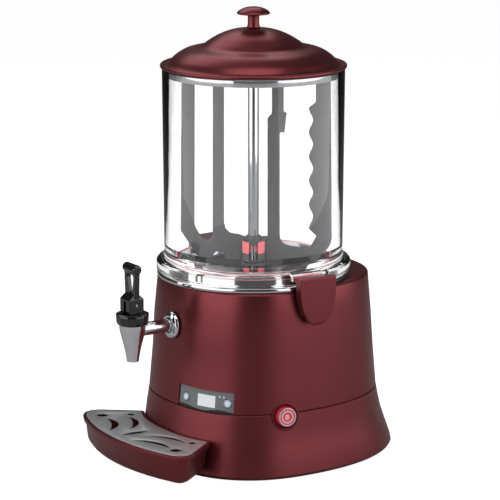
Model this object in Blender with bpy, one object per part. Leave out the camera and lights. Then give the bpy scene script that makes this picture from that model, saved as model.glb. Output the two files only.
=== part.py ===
"""Ten litre heated drink and sauce dispenser, as the pieces it comes apart into.

All sizes are in millimetres and become metres when a mesh is written. Places are given from the
jar's axis: +X is the machine's right, +Y its back, +Z up, and the floor is at height 0. The empty
"machine_axis" then moves the whole machine so that its footprint is centred on the world origin.
"""
import math

import bmesh
import bpy
from mathutils import Matrix, Vector

MM = 0.001
GAP = 0.3                       # air between two pieces that meet
FULL_TURN = 2 * math.pi

# Whole machine
TRAY_FRONT = 213.5              # tray lip in front of the jar's axis
HOUSING_BACK = 190.0            # foot of the housing behind the jar's axis
AXIS_Y = (TRAY_FRONT - HOUSING_BACK) / 2
SHEET = 3.0                     # moulded wall of the housing, the skirt and the tray

# Housing: height, then half width, depth in front of the axis and depth behind it
HOUSING_STATIONS = (
    (2.0, 138.5, 134.5, 187.0),
    (7.0, 142.0, 138.0, HOUSING_BACK),
    (15.0, 141.0, 137.0, 188.0),
    (26.0, 139.5, 136.0, 183.5),
    (52.0, 135.5, 132.8, 173.5),
    (67.0, 134.0, 130.8, 169.5),
    (85.0, 132.5, 127.5, 165.5),
    (140.0, 129.5, 122.0, 160.5),
    (187.0, 127.5, 119.5, 157.0),
    (237.0, 124.5, 114.0, 152.5),
)
FRONT_SQUARENESS = 2.4          # 2 is an ellipse
BACK_SQUARENESS = 2.15
PLAN_SEGMENTS = 40
SEAM_Z = 85.0
DECK_Z = 237.0
DECK_HOLE_R = 108.0
SKIRT_BOTTOM = 2.0

# Base plate, feet and screws
PLATE_Z = (8.0, 10.5)
FOOT_R = 13.0
FOOT_PLACES = ((-72.0, -84.0), (72.0, -84.0), (-80.0, 108.0), (80.0, 108.0))
SCREW_ANGLES = (40.0, 140.0, 220.0, 320.0)

# Vessel: pan, bain-marie tank, jar
PAN_R = 123.5
PAN_RIM_Z = (237.3, 243.3)
PAN_FLOOR_Z = 243.5
UPSTAND_TOP_Z = 254.2
UPSTAND_R = 103.0
TANK_R = 104.0
TANK_BOTTOM_Z = 170.0
JAR_TOP_Z = 503.0
FLANGE_R = 124.5
JAR_SEGMENTS = 32

# Agitator on the column
COLUMN_R = 7.0
COLUMN_TOP_Z = 488.0
SHAFT_R = 4.0
SHAFT_Z = (114.8, 499.0)
PADDLE_TURN = math.radians(58.0)
PADDLE_SHEET = 3.0

# Gear pair
GEAR_MODULE = 2.0
OUTPUT_TEETH = 24
PINION_TEETH = 12
GEAR_Z = (122.0, 131.0)
MOTOR_Y = GEAR_MODULE * (OUTPUT_TEETH + PINION_TEETH) / 2

# Tap
TAP_Y = -179.0
SHANK_Z = 183.5
SHANK_R = 8.5
SHANK_END_Y = -102.4
ELBOW_Y = -80.0                 # pipe that drops from the pan to the shank
BODY_TOP_Z = 192.0
BONNET_TOP_Z = 206.5
PIN_Z = 218.1
CAM_R = 10.2                    # pin to the flat foot of the handle
CAM_RISE = 4.58                 # valve lift for each radian of handle tilt
HANDLE_TILT = math.radians(50.0)

# Drip tray
TRAY_Z = (12.0, 50.0)
TRAY_FRONT_ARC_R = 300.0
TRAY_SIDE = (Vector((87.5, -118.8)), Vector((122.0, -163.0)))
GRILLE_Z = (48.6, 50.2)

# Lid
LID_RIM_R = 118.5
KNOB_TOP_Z = 580.0

# Latches
LATCH_Y = (-18.0, 34.5)
LATCH_X = (127.8, 140.0)
LATCH_PIVOT = (133.8, 212.0)    # distance from the axis along X, height
LATCH_Z = (194.0, 256.5)
LATCH_HEEL_X = 134.4             # inner face below the pivot, clear of the wall when it swings
LATCH_TOE = 44.0                 # height of the rounded lower end

# Control panel and switch, at angles from the front towards the right
PANEL_ANGLES = (6.9, 46.7)
PANEL_TOP_Z = 112.2
BUTTON_ANGLES = {"left": 12.2, "right": 42.3}
BUTTON_Z = 98.4
DISPLAY_ANGLES = (21.4, 34.0)
DISPLAY_Z = (91.3, 106.3)
BUTTON_R = 5.4
SWITCH_ANGLE = 78.1
SWITCH_Z = 81.5
SWITCH_BEZEL_R = 18.0
SWITCH_CAP_R = 12.4

# Finish: colour, roughness, metallic, alpha
FINISHES = {
    "burgundy": ((0.150, 0.028, 0.032), 0.38, 0.0, 1.0),
    "steel": ((0.62, 0.62, 0.63), 0.28, 1.0, 1.0),
    "chrome": ((0.80, 0.80, 0.82), 0.08, 1.0, 1.0),
    "brass": ((0.66, 0.50, 0.22), 0.30, 1.0, 1.0),
    "black": ((0.012, 0.012, 0.013), 0.22, 0.0, 1.0),
    "dark_grey": ((0.070, 0.070, 0.074), 0.45, 0.0, 1.0),
    "panel_grey": ((0.155, 0.165, 0.170), 0.40, 0.0, 1.0),
    "pale": ((0.62, 0.64, 0.66), 0.30, 0.0, 1.0),
    "green_board": ((0.02, 0.16, 0.07), 0.50, 0.0, 1.0),
    "red_rubber": ((0.55, 0.03, 0.05), 0.50, 0.0, 1.0),
    "red_lens": ((0.80, 0.10, 0.12), 0.18, 0.0, 1.0),
    "rubber": ((0.020, 0.020, 0.020), 0.75, 0.0, 1.0),
    "clear": ((0.93, 0.95, 0.96), 0.05, 0.0, 0.25),
    "nylon": ((0.80, 0.79, 0.74), 0.50, 0.0, 1.0),
}

for old_object in list(bpy.data.objects):
    bpy.data.objects.remove(old_object, do_unlink=True)

machine_axis = bpy.data.objects.new("machine_axis", None)
machine_axis.location = (0.0, AXIS_Y * MM, 0.0)
bpy.context.scene.collection.objects.link(machine_axis)


# ---------------------------------------------------------------- objects and modifiers

def make_material(name, finish):
    """A Principled material for one piece."""
    colour, roughness, metallic, alpha = FINISHES[finish]
    material = bpy.data.materials.new(name + "_finish")
    material.use_nodes = True
    shader = material.node_tree.nodes["Principled BSDF"]
    shader.inputs["Base Color"].default_value = (*colour, 1.0)
    shader.inputs["Roughness"].default_value = roughness
    shader.inputs["Metallic"].default_value = metallic
    shader.inputs["Alpha"].default_value = alpha
    return material


def write_object(name, shape, origin):
    """Turn a bmesh in millimetres into an object on the machine axis."""
    bmesh.ops.remove_doubles(shape, verts=shape.verts, dist=0.001)
    bmesh.ops.recalc_face_normals(shape, faces=shape.faces)
    bmesh.ops.translate(shape, verts=shape.verts, vec=-Vector(origin))
    bmesh.ops.scale(shape, verts=shape.verts, vec=(MM, MM, MM))
    mesh = bpy.data.meshes.new(name)
    shape.to_mesh(mesh)
    shape.free()
    mesh.shade_smooth()
    mesh.set_sharp_from_angle(angle=math.radians(35))
    thing = bpy.data.objects.new(name, mesh)
    thing.parent = machine_axis
    thing.location = Vector(origin) * MM
    bpy.context.scene.collection.objects.link(thing)
    return thing


def add_piece(name, finish, shape, origin=(0.0, 0.0, 0.0)):
    """One named piece; a moving piece gives a point of its joint's axis as origin."""
    piece = write_object(name, shape, origin)
    piece.data.materials.append(make_material(name, finish))
    return piece


def combine(piece, operation, shape, label):
    """Boolean with a hidden tool object: DIFFERENCE, UNION or INTERSECT."""
    tool = write_object(f"{piece.name}_{label}", shape, (0.0, 0.0, 0.0))
    tool.hide_render = True
    tool.display_type = "WIRE"
    modifier = piece.modifiers.new(label, "BOOLEAN")
    modifier.operation = operation
    modifier.solver = "EXACT"
    modifier.object = tool


def cut(piece, shape, label):
    combine(piece, "DIFFERENCE", shape, label)


def join(piece, shape, label):
    combine(piece, "UNION", shape, label)


# ---------------------------------------------------------------- shapes

def turned(profile, segments=32, centre=(0.0, 0.0)):
    """Turn a profile of (radius, height) points about a vertical axis.

    A profile that starts and ends on the axis is left open there, any other one is closed.
    """
    shape = bmesh.new()
    corners = [shape.verts.new((radius, 0.0, height)) for radius, height in profile]
    pairs = list(zip(corners, corners[1:]))
    if profile[0][0] > 0 or profile[-1][0] > 0:
        pairs.append((corners[-1], corners[0]))
    edges = [shape.edges.new(pair) for pair in pairs]
    bmesh.ops.spin(shape, geom=corners + edges, cent=(0, 0, 0), axis=(0, 0, 1), dvec=(0, 0, 0),
                   angle=FULL_TURN, steps=segments, use_merge=True, use_duplicate=False)
    bmesh.ops.remove_doubles(shape, verts=shape.verts, dist=0.001)
    bmesh.ops.translate(shape, verts=shape.verts, vec=(*centre, 0.0))
    return shape


def ring_profile(inner, outer, low, high):
    return ((inner, low), (outer, low), (outer, high), (inner, high))


def disc_profile(radius, low, high):
    return ((0.0, high), (radius, high), (radius, low), (0.0, low))


def plate(outlines, low, high, along="z"):
    """Extrude a flat outline; outlines after the first are holes in it.

    Outline points are (x, y) along z, (x, z) along y and (y, z) along x.
    """
    shape = bmesh.new()
    edges = []
    for outline in outlines:
        if along == "z":
            corners = [shape.verts.new((a, b, low)) for a, b in outline]
        elif along == "y":
            corners = [shape.verts.new((a, low, b)) for a, b in outline]
        else:
            corners = [shape.verts.new((low, a, b)) for a, b in outline]
        edges += [shape.edges.new(pair) for pair in zip(corners, corners[1:] + corners[:1])]
    bmesh.ops.triangle_fill(shape, edges=edges, use_beauty=True, use_dissolve=False)
    grown = bmesh.ops.extrude_face_region(shape, geom=shape.faces[:])["geom"]
    direction = {"x": (1, 0, 0), "y": (0, 1, 0), "z": (0, 0, 1)}[along]
    bmesh.ops.translate(shape, verts=[item for item in grown if isinstance(item, bmesh.types.BMVert)],
                        vec=Vector(direction) * (high - low))
    return shape


def block(low, high):
    """Box between two opposite corners."""
    return plate([((low[0], low[1]), (high[0], low[1]), (high[0], high[1]), (low[0], high[1]))],
                 low[2], high[2])


def lofted(rings, capped=True):
    """Skin rings of equal count; capped ends, or the last ring joined back to the first."""
    shape = bmesh.new()
    loops = [[shape.verts.new(point) for point in ring] for ring in rings]
    pairs = list(zip(loops, loops[1:]))
    if capped:
        shape.faces.new(loops[0])
        shape.faces.new(loops[-1])
    else:
        pairs.append((loops[-1], loops[0]))
    for lower, upper in pairs:
        for index in range(len(lower)):
            after = (index + 1) % len(lower)
            shape.faces.new((lower[index], lower[after], upper[after], upper[index]))
    return shape


def circle(radius, centre=(0.0, 0.0), segments=16, phase=0.0):
    angles = [phase + FULL_TURN * step / segments for step in range(segments)]
    return [(centre[0] + radius * math.cos(a), centre[1] + radius * math.sin(a)) for a in angles]


def arc(radius, centre, start, end, steps):
    """Points of an arc in degrees, both ends included."""
    angles = [math.radians(start + (end - start) * step / steps) for step in range(steps + 1)]
    return [(centre[0] + radius * math.cos(a), centre[1] + radius * math.sin(a)) for a in angles]


def arc_through(first, middle, last, steps):
    """Points of the circle arc that starts, passes and ends at three given points."""
    (ax, ay), (bx, by), (cx, cy) = first, middle, last
    cross = 2 * (ax * (by - cy) + bx * (cy - ay) + cx * (ay - by))
    squares = [x * x + y * y for x, y in (first, middle, last)]
    centre = ((squares[0] * (by - cy) + squares[1] * (cy - ay) + squares[2] * (ay - by)) / cross,
              (squares[0] * (cx - bx) + squares[1] * (ax - cx) + squares[2] * (bx - ax)) / cross)
    radius = math.hypot(ax - centre[0], ay - centre[1])
    start, past, end = (math.degrees(math.atan2(y - centre[1], x - centre[0]))
                        for x, y in (first, middle, last))
    if (end - start) % 360 < (past - start) % 360:
        return arc(radius, centre, start, start - (start - end) % 360, steps)
    return arc(radius, centre, start, start + (end - start) % 360, steps)


def filleted(corners, radii, steps=4):
    """Round each corner of a closed outline with its own radius; 0 keeps it sharp."""
    points = []
    for index, (corner, radius) in enumerate(zip(corners, radii)):
        corner = Vector(corner)
        if radius == 0:
            points.append(tuple(corner))
            continue
        before = (Vector(corners[index - 1]) - corner).normalized()
        after = (Vector(corners[(index + 1) % len(corners)]) - corner).normalized()
        half = before.angle(after) / 2
        centre = corner + (before + after).normalized() * (radius / math.sin(half))
        tangent = radius / math.tan(half)
        start, end = corner + before * tangent - centre, corner + after * tangent - centre
        sweep = start.angle_signed(end)
        for step in range(steps + 1):
            turn = Matrix.Rotation(-sweep * step / steps, 2)
            points.append(tuple(centre + turn @ start))
    return points


def placed(shape, matrix):
    """Move a shape made about the z axis to its place."""
    bmesh.ops.transform(shape, matrix=matrix, verts=shape.verts)
    return shape


def facing(point, direction):
    """Matrix that puts the local z axis at a point, along a direction, with local x level."""
    normal = Vector(direction).normalized()
    side = Vector((0, 0, 1)).cross(normal)
    side = side.normalized() if side.length > 0.001 else Vector((1, 0, 0))
    basis = Matrix((side, normal.cross(side), normal)).transposed().to_4x4()
    return Matrix.Translation(point) @ basis


# ---------------------------------------------------------------- housing surface

def plan_sizes(height):
    """Half width and the two depths of the housing at a height."""
    for lower, upper in zip(HOUSING_STATIONS, HOUSING_STATIONS[1:]):
        if height <= upper[0]:
            break
    share = (height - lower[0]) / (upper[0] - lower[0])
    return [a + (b - a) * share for a, b in zip(lower[1:], upper[1:])]


def wall_point(angle, height, offset=0.0):
    """Point of the housing's face; angle in radians from the front, offset outwards."""
    half_width, front, back = (size + offset for size in plan_sizes(height))
    across, forward = math.sin(angle), math.cos(angle)
    squareness, depth = (FRONT_SQUARENESS, -front) if forward >= 0 else (BACK_SQUARENESS, back)
    power = 2 / squareness
    return Vector((math.copysign(abs(across) ** power, across) * half_width,
                   depth * abs(forward) ** power, height))


def wall_normal(angle, height):
    """Outward normal of the housing's face."""
    around = wall_point(angle + 0.01, height) - wall_point(angle - 0.01, height)
    upward = wall_point(angle, height + 1.0) - wall_point(angle, height - 1.0)
    return around.cross(upward).normalized()


def wall_ring(height, offset=0.0):
    return [wall_point(FULL_TURN * step / PLAN_SEGMENTS, height, offset)
            for step in range(PLAN_SEGMENTS)]


def round_ring(radius, height):
    """Circle with the same point order as wall_ring."""
    return [Vector((radius * math.sin(FULL_TURN * step / PLAN_SEGMENTS),
                    -radius * math.cos(FULL_TURN * step / PLAN_SEGMENTS), height))
            for step in range(PLAN_SEGMENTS)]


def wall_patch(angles, low, high, inner, outer, steps=10):
    """Block that follows the housing between two angles in degrees and two offsets."""
    start, end = (math.radians(angle) for angle in angles)
    rings = []
    for step in range(steps + 1):
        angle = start + (end - start) * step / steps
        rings.append([wall_point(angle, low, inner), wall_point(angle, low, outer),
                      wall_point(angle, high, outer), wall_point(angle, high, inner)])
    return lofted(rings)


# ---------------------------------------------------------------- housing and base

def build_housing_shell():
    """Upper casing: a flared wall with a rounded edge to the deck that carries the pan."""
    outer = [wall_ring(height) for height in (SEAM_Z, 140.0, 187.0, DECK_Z - 2.8)]
    edge = [wall_ring(DECK_Z - 0.8, -0.8), wall_ring(DECK_Z, -2.8)]
    deck = [round_ring(DECK_HOLE_R, DECK_Z), round_ring(DECK_HOLE_R, DECK_Z - SHEET)]
    inner = [wall_ring(height, -SHEET) for height in (DECK_Z - SHEET, 187.0, 140.0, SEAM_Z)]
    shell = add_piece("housing_shell", "burgundy", lofted(outer + edge + deck + inner, capped=False))
    for side, sign in (("right", 1), ("left", -1)):
        join(shell, latch_lug(sign), "lug_" + side)
        cut(shell, latch_bore(sign, 1.9), "lug_bore_" + side)
    cut(shell, wall_patch(PANEL_ANGLES, SEAM_Z - 2, PANEL_TOP_Z + GAP, -8.0, 6.0), "panel_window")
    cut(shell, switch_disc(SWITCH_BEZEL_R + 0.5, -12.0, 12.0), "switch_hole")
    cut(shell, along_shank(((0.0, 0.0), (SHANK_R + 0.7, 0.0), (SHANK_R + 0.7, 40.0), (0.0, 40.0)),
                           TAP_Y + 30.0), "shank_hole")


def build_base_skirt():
    """Flared foot of the casing, with a lip inside that the base plate rests on."""
    outer = [wall_ring(height) for height in (2.0, 7.0, 15.0, 26.0, 52.0, 67.0)]
    inner = [wall_ring(height, -SHEET) for height in (SEAM_Z - GAP, 52.0, 26.0, PLATE_Z[0] - GAP)]
    lip = [wall_ring(PLATE_Z[0] - GAP, -16.0), wall_ring(4.7, -16.0), wall_ring(4.7, -SHEET),
           wall_ring(SKIRT_BOTTOM, -SHEET)]
    skirt = add_piece("base_skirt", "burgundy",
                      lofted(outer + [wall_ring(SEAM_Z - GAP)] + inner + lip, capped=False))
    cut(skirt, switch_disc(SWITCH_BEZEL_R + 0.5, -12.0, 12.0), "switch_hole")
    cut(skirt, placed(turned(disc_profile(6.6, -20.0, 20.0), 16), gland_frame()), "gland_hole")
    for side, sign in (("right", 1), ("left", -1)):
        cut(skirt, tongue(sign, 0.6, -160.0), "tongue_slot_" + side)
    for number, place in enumerate(screw_places(), 1):
        cut(skirt, turned(disc_profile(2.5, 0.0, 9.0), 8, place), f"screw_hole_{number}")


def screw_places():
    """Screws stand over the skirt's inner lip."""
    return [wall_point(math.radians(angle), PLATE_Z[0], -11.2).to_2d()[:] for angle in SCREW_ANGLES]


def build_base_plate():
    edge = [point.to_2d()[:] for point in wall_ring(PLATE_Z[0], -SHEET - 1.8)]
    holes = [circle(2.5, place, 8) for place in screw_places()]
    holes += [circle(3.7, place, 8) for place in FOOT_PLACES]
    add_piece("base_plate", "steel", plate([edge] + holes, *PLATE_Z))


def build_feet_and_screws():
    """Push-in rubber feet and the screws that hold the plate to the skirt's lip."""
    top = PLATE_Z[0] - GAP
    foot = ((0.0, 13.2), (2.2, 13.2), (4.2, 11.2), (3.1, 11.0), (3.1, top), (FOOT_R, top),
            (FOOT_R, 3.0), (FOOT_R - 2.0, 0.0), (0.0, 0.0))
    for number, place in enumerate(FOOT_PLACES, 1):
        add_piece(f"foot_{number}", "rubber", turned(foot, 14, place))
    screw = ((0.0, 14.0), (2.1, 14.0), (2.1, 4.4), (4.2, 4.4), (4.0, 2.6), (0.0, 2.6))
    for number, place in enumerate(screw_places(), 1):
        add_piece(f"base_screw_{number}", "steel", turned(screw, 8, place))


def gland_frame():
    return facing((0.0, 172.9, 64.0), (0.0, 1.0, 0.0))


def build_cable_gland():
    """Inlet bush for the mains lead, through the back of the skirt."""
    profile = ((3.6, -14.0), (9.0, -14.0), (9.0, -9.5), (6.0, -9.5), (6.0, 0.0), (9.5, 0.0),
               (9.5, 3.0), (7.0, 4.0), (5.4, 12.0), (3.6, 12.0))
    add_piece("cable_gland", "black", placed(turned(profile, 14), gland_frame()))


# ---------------------------------------------------------------- vessel

def build_product_pan():
    """Polished pan that the jar stands on; its upstand carries the seal."""
    low, high = PAN_RIM_Z
    profile = ((13.0, PAN_FLOOR_Z - 2.0), (96.5, PAN_FLOOR_Z - 2.0), (100.5, low + 3.3), (107.4, low),
               (PAN_R, low), (PAN_R + 0.4, low + 3.0), (PAN_R - 0.5, high), (UPSTAND_R, high),
               (UPSTAND_R, UPSTAND_TOP_Z), (UPSTAND_R - 1.5, UPSTAND_TOP_Z),
               (UPSTAND_R - 1.5, PAN_FLOOR_Z), (13.0, PAN_FLOOR_Z))
    pan = add_piece("product_pan", "steel", turned(profile, JAR_SEGMENTS))
    cut(pan, turned(disc_profile(9.4, 234.0, 250.0), 16, (0.0, ELBOW_Y)), "outlet_hole")


def build_water_tank():
    """Water bath under the pan."""
    top, wall = 238.0, 1.5
    profile = ((7.5, TANK_BOTTOM_Z), (TANK_R, TANK_BOTTOM_Z), (TANK_R, top), (TANK_R - wall, top),
               (TANK_R - wall, TANK_BOTTOM_Z + wall), (7.5, TANK_BOTTOM_Z + wall))
    tank = add_piece("water_tank", "steel", turned(profile, JAR_SEGMENTS))
    cut(tank, along_shank(disc_profile(9.4, 0.0, 20.0), -110.0), "outlet_hole")
    cut(tank, turned(disc_profile(3.4, 160.0, 180.0), 12, (-45.0, 25.0)), "probe_hole")


def build_jar():
    """Clear jar with a heavy foot flange; a pocket in the flange takes each latch."""
    foot, groove = PAN_RIM_Z[1] + 0.5, UPSTAND_TOP_Z + 0.4
    profile = ((112.0, JAR_TOP_Z), (116.0, JAR_TOP_Z), (114.2, 268.0), (115.2, 262.5),
               (118.5, 259.4), (122.5, 258.2), (FLANGE_R, 255.6), (FLANGE_R, 246.0), (123.0, foot),
               (107.2, foot), (107.2, groove), (103.4, groove), (103.6, 257.0), (106.0, 262.5),
               (109.0, 270.0), (110.4, 278.0))
    jar = add_piece("jar", "clear", turned(profile, JAR_SEGMENTS))
    for side, sign in (("right", 1), ("left", -1)):
        low, high = sorted((sign * 114.8, sign * 132.0))
        cut(jar, block((low, LATCH_Y[0] - 1, 250.0), (high, LATCH_Y[1] + 1, 275.0)), "pocket_" + side)


def build_column():
    """Fixed centre column: tube, slotted collar, clip-on red sleeve and the seal under the jar."""
    tube = ring_profile(COLUMN_R - 1.2, COLUMN_R, 150.0, COLUMN_TOP_Z)
    add_piece("column_tube", "chrome", turned(tube, 16))
    neck_z, nut_top, sleeve_top = PAN_FLOOR_Z + GAP, 261.8, 276.0
    nut = ((7.4, 235.0), (12.6, 235.0), (12.6, neck_z), (14.6, neck_z), (14.6, nut_top), (7.4, nut_top))
    collar = add_piece("column_nut", "dark_grey", turned(nut, 16))
    sleeve = add_piece("column_seal", "red_rubber",
                       turned(((7.4, nut_top + 0.4), (14.7, nut_top + 0.4), (14.7, sleeve_top),
                               (10.2, sleeve_top), (10.2, 271.8), (7.4, 271.8)), 20))
    for piece in (collar, sleeve):
        opening = placed(block((-5.8, -20.0, neck_z + 1.5), (5.8, 0.0, 280.0)),
                         Matrix.Rotation(PADDLE_TURN, 4, "Z"))
        cut(piece, opening, "clip_opening")
    seal = ring_profile(UPSTAND_R + GAP, 106.8, UPSTAND_TOP_Z - 3.0, UPSTAND_TOP_Z)
    add_piece("jar_seal", "red_rubber", turned(seal, JAR_SEGMENTS))
    upper = ((4.3, 476.0), (5.5, 476.0), (5.5, COLUMN_TOP_Z + GAP), (6.9, COLUMN_TOP_Z + GAP),
             (6.9, 490.0), (4.3, 490.0))
    add_piece("bush_upper", "nylon", turned(upper, 14))
    lower = ((4.3, 148.2), (6.9, 148.2), (6.9, 149.7), (5.5, 149.7), (5.5, 164.0), (4.3, 164.0))
    add_piece("bush_lower", "nylon", turned(lower, 14))


def build_heating():
    """Ring heater, cut-out thermostat and probe under the tank floor."""
    ring_r, rod_r, middle = 70.0, 4.0, TANK_BOTTOM_Z - 4.6
    rod = [(ring_r + x, middle + z) for x, z in circle(rod_r, segments=6)]
    heater = add_piece("heater_ring", "steel", turned(rod, 24))
    for side, x in (("a", -9.0), ("b", 9.0)):
        join(heater, turned(disc_profile(2.6, 146.0, middle), 8, (x, ring_r)), "terminal_" + side)
    disc = ((0.0, 169.4), (12.0, 169.4), (12.0, 164.0), (9.0, 163.0), (9.0, 158.0), (0.0, 158.0))
    add_piece("thermostat", "nylon", turned(disc, 16, (34.0, -26.0)))
    probe = ((0.0, 190.0), (2.2, 189.0), (2.9, 186.0), (2.9, 169.6), (6.0, 169.6), (6.0, 163.0),
             (2.9, 163.0), (2.9, 152.0), (0.0, 152.0))
    add_piece("temperature_probe", "brass", turned(probe, 10, (-45.0, 25.0)))


def build_outlet_elbow():
    """Mitred pipe from the pan floor to the end of the tap's shank."""
    foot_z, run = SHANK_Z - 9.6, SHANK_END_Y + GAP - ELBOW_Y
    drop = turned(disc_profile(9.0, foot_z, PAN_FLOOR_Z - 0.4), 16, (0.0, ELBOW_Y))
    elbow = add_piece("outlet_elbow", "steel", drop)
    join(elbow, along_shank(disc_profile(8.5, run, 0.0), ELBOW_Y), "run")
    cut(elbow, turned(disc_profile(6.2, SHANK_Z - 6.0, 260.0), 16, (0.0, ELBOW_Y)), "drop_bore")
    cut(elbow, along_shank(disc_profile(5.6, run - 5.0, 0.0), ELBOW_Y), "run_bore")


# ---------------------------------------------------------------- drive

def gear_outline(teeth, phase):
    """Straight-flanked teeth, slim enough to leave backlash."""
    pitch_r = GEAR_MODULE * teeth / 2
    root_r, tip_r = pitch_r - 1.25 * GEAR_MODULE, pitch_r + 0.85 * GEAR_MODULE
    step = FULL_TURN / teeth
    points = []
    for tooth in range(teeth):
        middle = phase + tooth * step
        for radius, share in ((root_r, -0.34), (tip_r, -0.12), (tip_r, 0.12), (root_r, 0.34)):
            angle = middle + share * step
            points.append((radius * math.cos(angle), radius * math.sin(angle)))
    return points


def build_drive():
    """Gearmotor: motor, case, cover, bracket, pinion, output gear and the long shaft."""
    quarter = FULL_TURN / 4
    add_piece("drive_shaft", "steel", turned(disc_profile(SHAFT_R, *SHAFT_Z), 16))
    wheel = plate([gear_outline(OUTPUT_TEETH, quarter), circle(4.4, segments=16)], *GEAR_Z)
    add_piece("output_gear", "nylon", wheel)
    small_phase = -quarter + FULL_TURN / PINION_TEETH / 2
    small = placed(plate([gear_outline(PINION_TEETH, small_phase)], *GEAR_Z),
                   Matrix.Translation((0.0, MOTOR_Y, 0.0)))
    pinion = add_piece("pinion", "brass", small, origin=(0.0, MOTOR_Y, 0.0))
    join(pinion, turned(disc_profile(2.5, 104.0, 133.0), 12, (0.0, MOTOR_Y)), "stub")

    motor = ((3.2, 100.0), (3.2, 113.6), (24.0, 113.6), (25.0, 112.0), (25.0, 64.0), (22.0, 60.0),
             (0.0, 60.0), (0.0, 100.0))
    add_piece("motor_can", "steel", turned(motor[-1:] + motor[:-1], 20, (0.0, MOTOR_Y)))

    x, back, front = 31.0, 54.0, -31.0
    case = add_piece("gearbox_case", "dark_grey", block((-x, front, 114.0), (x, back, 140.0)))
    cut(case, block((-x + 3, front + 3, 117.0), (x - 3, back - 3, 145.0)), "cavity")
    cut(case, turned(disc_profile(4.4, 110.0, 120.0), 16), "shaft_seat")
    cut(case, turned(disc_profile(4.0, 110.0, 120.0), 12, (0.0, MOTOR_Y)), "motor_seat")
    rim = ((-x, front), (x, front), (x, back), (-x, back))
    cover = plate([rim, circle(4.6, segments=16)], 140.0 + GAP, 143.0)
    add_piece("gearbox_cover", "dark_grey", cover)

    top, sheet, foot, leg = 113.6, 2.0, 10.5 + GAP, 33.0
    hat = ((-leg - 14, foot), (-leg, foot), (-leg, top - sheet), (leg, top - sheet), (leg, foot),
           (leg + 14, foot), (leg + 14, foot + sheet), (leg + sheet, foot + sheet),
           (leg + sheet, top), (-leg - sheet, top), (-leg - sheet, foot + sheet),
           (-leg - 14, foot + sheet))
    bracket = add_piece("motor_bracket", "steel", plate([hat], -28.0, 66.0, along="y"))
    cut(bracket, turned(disc_profile(25.6, 100.0, 120.0), 24, (0.0, MOTOR_Y)), "motor_hole")


# ---------------------------------------------------------------- paddle

def paddle_windows():
    """Window outlines in the paddle's own plane, (distance along it, height)."""
    top = 482.0
    left = filleted(((-76.2, top), (-52.6, top), (-52.6, 278.0), (-66.0, 278.0), (-76.2, 296.0)),
                    (6.0, 6.0, 7.0, 9.0, 12.0), 3)
    step_z = 431.5
    middle = filleted(((-38.0, top), (-9.0, top), (-9.0, 491.6), (9.0, 491.6), (9.0, top),
                       (23.8, top), (23.8, step_z + 3), (18.1, step_z - 3), (18.1, 282.0),
                       (10.8, 282.0), (-12.0, 282.0), (-20.0, 284.8), (-38.0, 284.8)),
                      (6.0, 0, 0, 0, 0, 6.0, 3.0, 3.0, 0, 0, 0, 0, 14.0), 3)
    wave_top, wave_bottom, waves, steps_each = 442.0, 292.0, 5, 6
    wave = []
    for step in range(waves * steps_each + 1):
        share = step / (waves * steps_each)
        swing = math.cos(FULL_TURN * waves * share)
        wave.append((74.5 - 2.9 * swing, wave_top + (wave_bottom - wave_top) * share))
    right = filleted(((39.1, step_z + 3), (39.1, top), (81.1, top), (81.1, 448.0)),
                     (3.0, 6.0, 6.0, 4.0), 3)
    right += wave
    right += filleted(((81.1, 282.0), (72.2, 266.6), (34.0, 272.0), (34.0, step_z - 3)),
                      (3.0, 2.0, 12.0, 3.0), 3)
    return left, middle, right


def build_paddle():
    """Flat agitator paddle, hung from the shaft's top and steadied by a ring on the column."""
    notch = arc(8.3, (-44.3, 255.5), 0.0, 180.0, 6)
    centre_notch = 15.8
    edge = [(-94.0, 500.0), (-94.0, 290.0), (-71.7, 257.2), (-52.6, 252.8)]
    edge += notch[::-1]
    edge += [(-36.0, 250.9), (-centre_notch, 249.0), (-centre_notch, 276.4), (centre_notch, 276.4),
             (centre_notch, 249.0), (29.0, 249.6), (60.8, 253.2)]
    edge += arc_through((86.0, 259.2), (98.2, 270.5), (101.5, 286.5), 5)
    edge += [(101.5, 500.0)]
    half = PADDLE_SHEET / 2
    turn = Matrix.Rotation(PADDLE_TURN, 4, "Z")
    sheet = placed(plate([edge, *paddle_windows()], -half, half, along="y"), turn)
    paddle = add_piece("paddle", "dark_grey", sheet)
    join(paddle, turned(disc_profile(9.4, 272.2, 283.0), 20), "ring")
    join(paddle, turned(disc_profile(8.6, 492.0, 499.6), 20), "hub")
    cut(paddle, turned(disc_profile(COLUMN_R + 0.7, 265.0, 288.0), 20), "ring_bore")
    cut(paddle, turned(disc_profile(SHAFT_R + 0.4, 485.0, 505.0), 16), "hub_bore")


# ---------------------------------------------------------------- control panel and switch

def switch_frame():
    angle = math.radians(SWITCH_ANGLE)
    return facing(wall_point(angle, SWITCH_Z), wall_normal(angle, SWITCH_Z))


def switch_disc(radius, low, high, segments=24):
    return placed(turned(disc_profile(radius, low, high), segments), switch_frame())


def button_frame(side):
    angle = math.radians(BUTTON_ANGLES[side])
    return facing(wall_point(angle, BUTTON_Z), wall_normal(angle, BUTTON_Z))


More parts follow.
